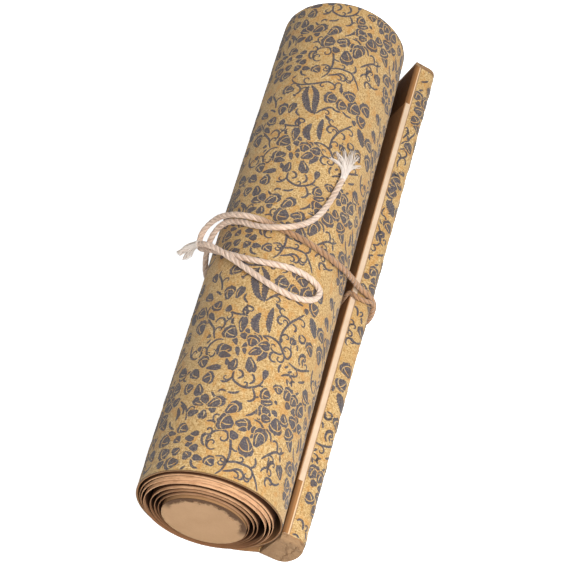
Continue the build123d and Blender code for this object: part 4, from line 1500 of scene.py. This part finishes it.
@dataclass
class Tie:
    """The whole cord: both halves, the stretch under the roll, the turn on the stave and frayed ends."""

    over: Route = (
        (21.0, -12.0, 0.6), (27.0, -11.6, 0.6), (37.0, -11.2, 0.6), (46.1, -11.2, 3.5),
        (49.7, -11.2, 15.0), (49.5, -9.8, 24.8), (40.7, -8.6, 31.7), (37.6, -11.4, 42.6),
        (32.4, -14.8, 54.6), (23.0, -15.2, 64.2), (11.6, -13.8, 70.4), (0.4, -11.4, 71.6),
        (-9.4, -9.0, 73.2), (-20.6, -7.4, 71.6), (-29.8, -3.6, 63.4), (-36.6, -1.6, 54.0),
        (-41.8, -4.6, 46.0), (-40.6, -13.4, 45.6), (-35.0, -19.4, 54.4), (-25.6, -26.6, 64.4),
        (-13.6, -31.8, 70.0), (-1.0, -33.6, 72.0), (11.0, -32.4, 70.2), (20.8, -32.6, 65.4),
        (27.4, -35.6, 60.4), (26.0, -43.0, 61.8), (18.6, -47.8, 67.0), (7.0, -47.0, 71.4),
        (-5.6, -40.8, 72.0), (-17.4, -33.6, 70.0), (-27.6, -26.6, 67.0), (-36.6, -20.6, 60.6),
        (-42.0, -17.4, 52.6))
    under: Route = (
        (-14.5, -16.5, 0.6), (-22.4, -17.5, 0.6), (-32.0, -17.2, 9.4), (-37.6, -14.4, 23.0),
        (-38.4, -9.6, 36.0), (-35.8, -4.6, 47.4), (-29.6, -3.2, 57.6), (-20.6, -6.6, 65.2),
        (-10.8, -11.8, 70.2), (-1.4, -14.6, 75.5), (7.6, -11.2, 74.4), (14.6, -1.8, 68.2),
        (19.4, 10.6, 65.6), (22.2, 25.0, 63.8), (24.0, 39.5, 62.4))
    turn: Route = (
        (28.7, -13.6, 13.0), (32.05, -13.2, 19.6), (35.0, -12.0, 25.6), (36.5, -11.2, 28.3),
        (38.6, -11.7, 29.2), (41.0, -13.1, 29.2), (43.9, -13.5, 28.2), (46.4, -12.8, 26.4),
        (48.6, -11.4, 24.4), (50.0, -10.6, 22.0))
    pressed_ends: tuple[Point, Point] = ((20.9, -12.0, -0.5), (-14.4, -16.5, -0.5))
    left_tips: Route = (
        (-50.6, -19.9, 47.4), (-50.4, -19.6, 47.0), (-50.1, -19.5, 46.4), (-49.6, -19.4, 45.4),
        (-47.4, -19.6, 42.6), (-46.6, -19.4, 42.0), (-45.8, -19.0, 41.8), (-42.4, -17.2, 43.4))
    right_tips: Route = (
        (14.4, 41.6, 66.8), (16.4, 47.4, 66.0), (20.0, 51.2, 64.6), (24.0, 53.4, 62.4),
        (27.6, 52.6, 59.4), (29.8, 47.4, 56.8))
    over_length: float = 360.3
    under_length: float = 173.8
    radius: float = 1.6
    pitch: float = 11.0
    turn_pitch: float = 9.0
    around: int = 24
    step: float = 0.45
    edge_height: float = 25.0
    edge_x: float = 37.0
    pressed_points: int = 81
    # Factors for the cord's width and height: in the gap, what they change by outside it, and pressed
    in_gap: Place = (1.38, 0.42)
    freed: Place = (-0.56, 0.34)
    squeezed: Place = (1.56, 0.3)

    def small_turn(self, cotton: Material) -> Piece:
        """The second turn on the stave: flat in the gap, round where it lies over the narrow edge.

        Args:
            cotton: Its finish.

        Returns:
            The piece.
        """
        line = smooth(np.array(self.turn), self.step)
        free = np.clip((line[:, 2] - self.edge_height) / 4.0 + (line[:, 0] > self.edge_x), 0.0, 1.0)
        flat = np.array(self.in_gap) + free[:, None] * np.array(self.freed)
        piece = twisted("cord_small_turn", line, self.radius, self.turn_pitch, self.around, cotton, flat)
        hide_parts("cord_hitch")
        return piece

    def pressed(self, cotton: Material) -> Piece:
        """The stretch that the roll lies on, three strands squeezed flat.

        Args:
            cotton: Its finish.

        Returns:
            The piece.
        """
        start, end = np.array(self.pressed_ends)
        line = start + np.linspace(0.0, 1.0, self.pressed_points)[:, None] * (end - start)
        flat = np.full((len(line), 2), self.squeezed)
        piece = twisted("cord_pressed_strands", line, self.radius, self.pitch, self.around, cotton, flat)
        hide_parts("cord_pressed")
        return piece

    def build(self, cotton: Material, soiled: Material, yarn: Material) -> None:
        """Build both halves with what is on them.

        Args:
            cotton: The cord's material.
            soiled: The same with the tan start of the half that goes round the stave.
            yarn: The loose yarns of its ends.
        """
        left = FrayedEnd("frayed_end_left", self.over[-2:], self.left_tips, 3).build(yarn)
        right = FrayedEnd("frayed_end_right", self.under[-2:], self.right_tips, 8).build(yarn)
        on_over = [self.small_turn(soiled).object, self.pressed(cotton).object, left.object]
        Cord(Lay.OVER, self.over, self.over_length).build(soiled, self.over[0], on_over)
        Cord(Lay.UNDER, self.under, self.under_length).build(cotton, self.under[0], [right.object])


@dataclass
class FrayedEnd:
    """A frayed end of the cord: loose yarns that part from its last run and spread to their tips."""

    node: str
    run: Route
    tips: Route
    seed: int
    # How many yarns, points along one and points round one, and their radii
    yarns: int = 64
    places: int = 18
    around: int = 6
    thinnest: float = 0.26
    thickest: float = 0.42
    # Where a yarn starts in the cord and parts from it, and how its tip and its way stray
    inside: float = 7.5
    past: float = 1.5
    gather: float = 0.4
    shorter: float = 0.35
    stray: float = 0.4
    sway: float = 0.75
    # The round that yarns stay outside of
    clear: float = 35.0
    axis: float = 34.3

    def lines(self) -> Array:
        """Each yarn is a cubic curve from inside the cord, past its end, to a tip with a little stray.

        Yarns gather in locks at the given tips, and are pushed outwards to stay clear of the roll.

        Returns:
            The yarns' points, as an array of yarns by places by three.
        """
        pick = np.random.default_rng(self.seed)
        before, end = np.array(self.run)
        way, given = unit(end - before), np.array(self.tips)
        side = unit(np.cross(way, (0.3, 0.2, 1.0)))
        up = np.cross(side, way)
        angle, far = pick.uniform(0, 2 * math.pi, self.yarns), 0.55 + 0.75 * pick.random(self.yarns) ** 0.5
        ring = (far * np.cos(angle))[:, None] * side + (far * np.sin(angle))[:, None] * up
        across = np.linspace(0.0, len(given) - 1.0, self.yarns) + pick.normal(0.0, 0.2, self.yarns)
        across = np.round(across) + self.gather * (across - np.round(across))
        tips = read_line(across, np.arange(len(given)), given)
        short = pick.uniform(0.0, 1.0, self.yarns)[:, None] ** 2.5 * self.shorter
        tips = tips + (end - tips) * short + pick.normal(0.0, self.stray, (self.yarns, 3))
        start = end - self.inside * way + ring
        first = end + self.past * way + 1.25 * ring
        second = 0.45 * first + 0.55 * tips + 0.8 * ring + pick.normal(0.0, self.sway, (self.yarns, 3))
        t = np.linspace(0.0, 1.0, self.places)[None, :, None]
        curve = ((1 - t)**3 * start[:, None] + 3 * t * (1 - t)**2 * first[:, None]
                 + 3 * t**2 * (1 - t) * second[:, None] + t**3 * tips[:, None])
        out = np.hypot(curve[..., 0], curve[..., 2] - self.axis)
        push = np.maximum(self.clear / out, 1.0)
        curve[..., 0] *= push
        curve[..., 2] = self.axis + (curve[..., 2] - self.axis) * push
        return curve

    def build(self, cotton: Material) -> Piece:
        """Carry a thin ring along every yarn, thinner towards its tip.

        Args:
            cotton: The yarns' finish.

        Returns:
            The piece.
        """
        lines = self.lines()
        pick = np.random.default_rng(self.seed + 1)
        t = np.linspace(0.0, 1.0, self.places)
        radius = pick.uniform(self.thinnest, self.thickest, (self.yarns, 1)) * (1.0 - 0.6 * t**2)
        way = unit(np.gradient(lines, axis=1))
        side = unit(np.cross(way, (0.31, 0.23, 0.92)))
        up = np.cross(side, way)
        angle = np.linspace(0.0, 2 * math.pi, self.around, endpoint=False)
        skin = rings(lines, side, up, radius[..., None], radius[..., None], angle)
        size = self.places * self.around
        one = grid_faces(self.places, self.around, closed=True)
        ends = np.array([[1, 0, 3, 2], [3, 0, 5, 4]])
        one = np.concatenate([one, ends[:, ::-1], size - self.around + ends])
        faces = (one + size * np.arange(self.yarns)[:, None, None]).reshape(-1, 4)
        piece = Piece(self.node + "_yarns", skin, faces, cotton, Slot.CORD)
        strand = np.stack(np.broadcast_arrays(
            1.2 * np.cos(angle) + np.arange(self.yarns)[:, None, None], 1.2 * np.sin(angle),
            200.0 + 14.0 * t[None, :, None]), -1)
        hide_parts(self.node)
        return piece.vertex_vector("strand", strand)


@dataclass
class StaveCap:
    """Paper folded over an end of the stave like a parcel: two flaps on the end face and a short lap."""

    path: ClothPath
    node: str
    wood: float
    inward: float
    thick: float = 0.4
    lap: float = 2.4
    around: int = 168
    rounds: int = 40
    step: float = 0.2
    # Where the edges meet, the middle of the end face, the two flaps' edges and heights, and the wrinkles
    edge_depth: float = 7.8
    middle_up: float = 0.52
    middle_deep: float = 6.6
    fold_up: float = 18.2
    fold_deep: float = 10.0
    heights: Place = (0.45, 0.3)
    wrinkle: float = 0.1

    def outline(self, offset: float) -> Array:
        """The stave's section at an offset, closed up its flat side, at even steps.

        Args:
            offset: How far it is from the wood.

        Returns:
            Rows of x and z.
        """
        foot, count = self.path.foot(self.wood), self.path.lower_points
        rows = self.path.round_part(foot, offset)
        edge = np.linspace(-offset, self.edge_depth, count)
        rows[0] = self.path.on_stave(foot, np.full(count, -offset), edge)
        rows[-1] = self.path.on_stave(foot, np.full(count, self.path.stave_width + offset), edge[::-1])
        line = np.concatenate(rows + [rows[0][:1]])
        keep = np.concatenate([[True], np.linalg.norm(np.diff(line, axis=0), axis=1) > 1e-6])
        return even(line[keep], self.step)

    def build(self, finish: Material) -> Piece:
        """Rings shrink from the lap's edge, round the rim, to the middle of the end face.

        Two flaps are folded over the end face, from the narrow edge and from the round side. Each rises
        to its height along a wavering line, and soft waves wrinkle the rest.

        Args:
            finish: The paper.

        Returns:
            The piece.
        """
        line = self.outline(self.thick)
        share = np.linspace(0.0, len(line) - 1.0, self.around, endpoint=False)
        rim = read_line(share, np.arange(len(line)), line)
        foot = self.path.foot(self.wood)
        middle = self.path.on_stave(foot, self.path.stave_width * self.middle_up, self.middle_deep)
        turn = np.arange(self.around) / self.around
        ragged = 0.16 * np.sin(2 * math.pi * turn * 5) + 0.12 * np.sin(2 * math.pi * turn * 13 + 1)
        shrink = np.concatenate([[1.0, 1.0, 1.0, 0.985], np.linspace(0.95, 0.02, self.rounds - 4)])
        depth = np.concatenate([[1.0, 0.5, 0.12, 0.0], np.zeros(self.rounds - 4)])
        flat = middle + shrink[:, None, None] * (rim - middle)
        up, deep = (flat - foot) @ self.path.along, (flat - foot) @ self.path.deep
        ridges = [up - self.fold_up - 0.7 * np.sin(0.55 * deep) - 0.3 * np.sin(1.9 * deep),
                  deep - self.fold_deep - 0.6 * np.sin(0.5 * up + 1.0) - 0.25 * np.sin(1.7 * up)]
        amount = np.clip((1.0 - shrink) * 9.0, 0.0, 1.0)[:, None]
        flaps = sum(high / (1.0 + np.exp(-7.0 * ridge)) for high, ridge in zip(self.heights, ridges))
        wave = self.wrinkle * np.sin(0.9 * up + 0.5 * deep) * np.sin(0.7 * deep - 0.4 * up + 1.0)
        rise = amount * (flaps + wave)
        y = self.wood + self.inward * (depth[:, None] * self.lap * (1 + ragged) - self.thick - rise)
        points = np.stack([flat[..., 0], y, flat[..., 1]], -1)
        # Painted shade: how near each point is to the foot of a flap's edge
        near = np.minimum(np.abs(ridges[0] + 0.35), np.abs(ridges[1] + 0.35)) / 0.6
        crease = np.where(amount > 0.5, np.clip(near, 0.0, 1.0), 1.0)
        faces = grid_faces(self.rounds, self.around, closed=True)
        outwards = faces[:, ::-1] if self.inward > 0 else faces
        piece = Piece(self.node + "_folded", points, outwards, finish, Slot.CAP)
        # Painted shade: how far each point lies towards the gap side
        far = np.clip((foot[0] + 12.0 - points[..., 0]) / 14.0, 0.0, 1.0)
        piece.vertex_vector("fold", np.stack([crease, far, 0 * far], -1))
        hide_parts(self.node)
        return piece


@dataclass
class Studio:
    """Pale floor, soft lamps and the camera at the photograph's angle."""

    eye: Point = (114.2, -488.2, 696.9)
    way: Point = (-0.1331, 0.5738, -0.8081)
    lens: float = 102.91
    grey: float = 0.8
    glow: float = 0.85
    sky: float = 0.3
    # Name, place in metres, size in metres and power in watts of each lamp
    lamps: tuple[tuple[str, Point, float, float], ...] = (
        ("key_lamp", (0.45, -0.55, 0.95), 0.5, 14.5),
        ("front_lamp", (0.1, -1.2, 0.7), 0.8, 2.6),
        ("back_lamp", (0.5, 0.8, 0.9), 0.9, 1.2))

    @staticmethod
    def aim(thing: bpy.types.Object, place: Array, right: Array, back: Array) -> None:
        """Move a camera or lamp to its place and turn it; it looks along its own -Z.

        Args:
            thing: The camera or lamp.
            place: Its place in metres.
            right: Its own X.
            back: Its own Z.
        """
        matrix = np.eye(4)
        matrix[:3] = np.column_stack([right, np.cross(back, right), back, place])
        thing.matrix_world = Matrix(matrix.tolist())

    def add_camera(self) -> None:
        """The camera stands at the eye and looks along the way, with level horizon."""
        data = bpy.data.cameras.new("camera")
        data.lens, data.sensor_width = self.lens, 36.0
        data.clip_start, data.clip_end = 0.01, 50.0
        camera = add_object("camera", data)
        back = -unit(np.array(self.way))
        self.aim(camera, to_metres(self.eye), unit(np.cross(-back, (0.0, 0.0, 1.0))), back)
        bpy.context.scene.camera = camera

    def add_floor(self) -> None:
        """A wide plain floor that is white to the camera and keeps the shadow."""
        mesh = bpy.data.meshes.new("floor")
        mesh.from_pydata([(-4, -4, 0), (4, -4, 0), (4, 4, 0), (-4, 4, 0)], [], [(0, 1, 2, 3)])
        board = Board("pale_floor")
        ray = board.add("LightPath").outputs["Is Camera Ray"]
        plain = board.add("BsdfDiffuse", {"Color": (self.grey,) * 3}).outputs[0]
        glow = board.add("Emission", {"Color": (1.0, 1.0, 1.0), "Strength": self.glow}).outputs[0]
        both = board.add("AddShader", {0: plain, 1: glow}).outputs[0]
        board.add("OutputMaterial", {0: board.add("MixShader", {0: ray, 1: plain, 2: both}).outputs[0]})
        mesh.materials.append(board.material)
        add_object("floor", mesh)

    def add_lamps(self) -> None:
        """Soft lamps above and to the right that look at the scroll's middle, and a plain pale world."""
        world = bpy.data.worlds.new("world")
        bpy.context.scene.world = world
        world.use_nodes = True
        background = world.node_tree.nodes["Background"]
        background.inputs[0].default_value = (1.0, 1.0, 1.0, 1.0)
        background.inputs[1].default_value = self.sky
        for name, place, size, power in self.lamps:
            data = bpy.data.lights.new(name, "AREA")
            data.size, data.energy = size, power
            back = unit(np.array(place) - (0.0, 0.0, 0.03))
            self.aim(add_object(name, data), place, unit(np.cross((0.0, 0.0, 1.0), back)), back)

    def build(self) -> None:
        """Set up the camera, the floor, the lamps and the plain view transform."""
        self.add_camera()
        self.add_floor()
        self.add_lamps()
        bpy.context.scene.view_settings.view_transform = "Standard"


def dress(node: bpy.types.Object, finish: Material) -> None:
    """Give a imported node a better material.

    Args:
        node: The node's object.
        finish: The material.
    """
    node.data.materials.clear()
    node.data.materials.append(finish)
    LOG.info("node %s dressed in %s", node.name, finish.name)


def build_cord() -> None:
    """Build the cord in clean cotton, with a soiled start and paler loose yarns."""
    cotton = CottonFinish("cotton", light=linear(246, 222, 202), deep=linear(200, 162, 132),
                          soiled=linear(196, 150, 110))
    soiled = replace(cotton, name="soiled_cotton", soiled_until=128.0)
    yarn = replace(cotton, name="loose_yarn", light=linear(255, 246, 236), deep=linear(240, 214, 194),
                   hollow_shade=0.0)
    Tie().build(cotton.build(), soiled.build(), yarn.build())


def build_cover() -> Cover:
    """Build the patterned cloth with its woven figures.

    Returns:
        The cover.
    """
    gold = ClothFinish("gold_cloth", bright=linear(228, 203, 152), light=linear(206, 174, 122),
                       deep=linear(186, 148, 92), fleck=linear(128, 94, 56), rim=linear(92, 58, 30),
                       warm=linear(196, 138, 66)).build()
    cover = Cover()
    cloth = cover.build(gold)
    slate = ClothFinish("slate_thread", bright=linear(146, 130, 110), light=linear(102, 94, 92),
                        deep=linear(85, 79, 84), fleck=linear(62, 57, 60), rim=linear(60, 46, 40),
                        warm=linear(92, 78, 70)).build()
    pattern = Pattern()
    woven = [pattern.build("cover_stems", cover, pattern.figures(), pattern.stave_stems(), slate)]
    for name, margin, lift, thread in (("cover_petals", 0.0, pattern.petal_lift, slate),
                                       ("cover_petal_rims", pattern.rim_width, 0.0, gold)):
        both = (pattern.petals(rows, margin, lift) for rows in (PETALS, STAVE_PETALS))
        woven.append(pattern.build(name, cover, *both, thread))
    veins = pattern.veins(PETALS), pattern.veins(STAVE_PETALS, 2.0)
    woven.append(pattern.build("cover_petal_veins", cover, *veins, gold))
    return cover


def build_papers(frame: dict, path: ClothPath) -> None:
    """Fold the papers over the stave's ends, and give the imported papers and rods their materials.

    Args:
        frame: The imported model.
        path: The cover's cross-section.
    """
    cap = CapFinish("folded_paper", linear(172, 138, 102), linear(140, 108, 76), mottle=160.0).build()
    StaveCap(path, "stave_end_front", path.stave_front, inward=1.0).build(cap)
    StaveCap(path, "stave_end_back", path.stave_back, inward=-1.0).build(cap)
    low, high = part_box("roller_end_front")
    centre = tuple(500.0 * (low[k] + high[k]) - SHIFT[k] for k in (0, 2))
    tan, brown = (linear(184, 148, 112), linear(166, 130, 94)), (linear(168, 121, 74), linear(140, 95, 54))
    wood = linear(176, 136, 96), linear(150, 108, 70)
    papers = {
        "painted_sheet": EdgesFinish("sheet_edges", linear(234, 188, 146), linear(196, 146, 104),
                                     centre=centre),
        "lining_paper": LiningFinish("lining", linear(226, 202, 176), linear(200, 172, 140), path=path),
        "roller_end_front": DiscFinish("end_paper", *tan, centre=centre),
        "roller_end_back": DiscFinish("end_paper_back", *tan, centre=centre, blotch_and_shadow=linear(120, 88, 60)),
        "border_front": BorderFinish("border_paper", *brown, path=path),
        "border_back": BorderFinish("border_paper_back", *brown, path=path),
        "roller": PaperFinish("rod_wood", *wood),
        "stave": PaperFinish("stave_wood", *wood),
    }
    for name, paper in papers.items():
        dress(frame["nodes"][name], paper.build())


def main() -> None:
    """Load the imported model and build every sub-assembly over it."""
    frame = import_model()
    Studio().build()
    build_cord()
    cover = build_cover()
    build_papers(frame, cover.path)


if __name__ == "__main__":
    main()
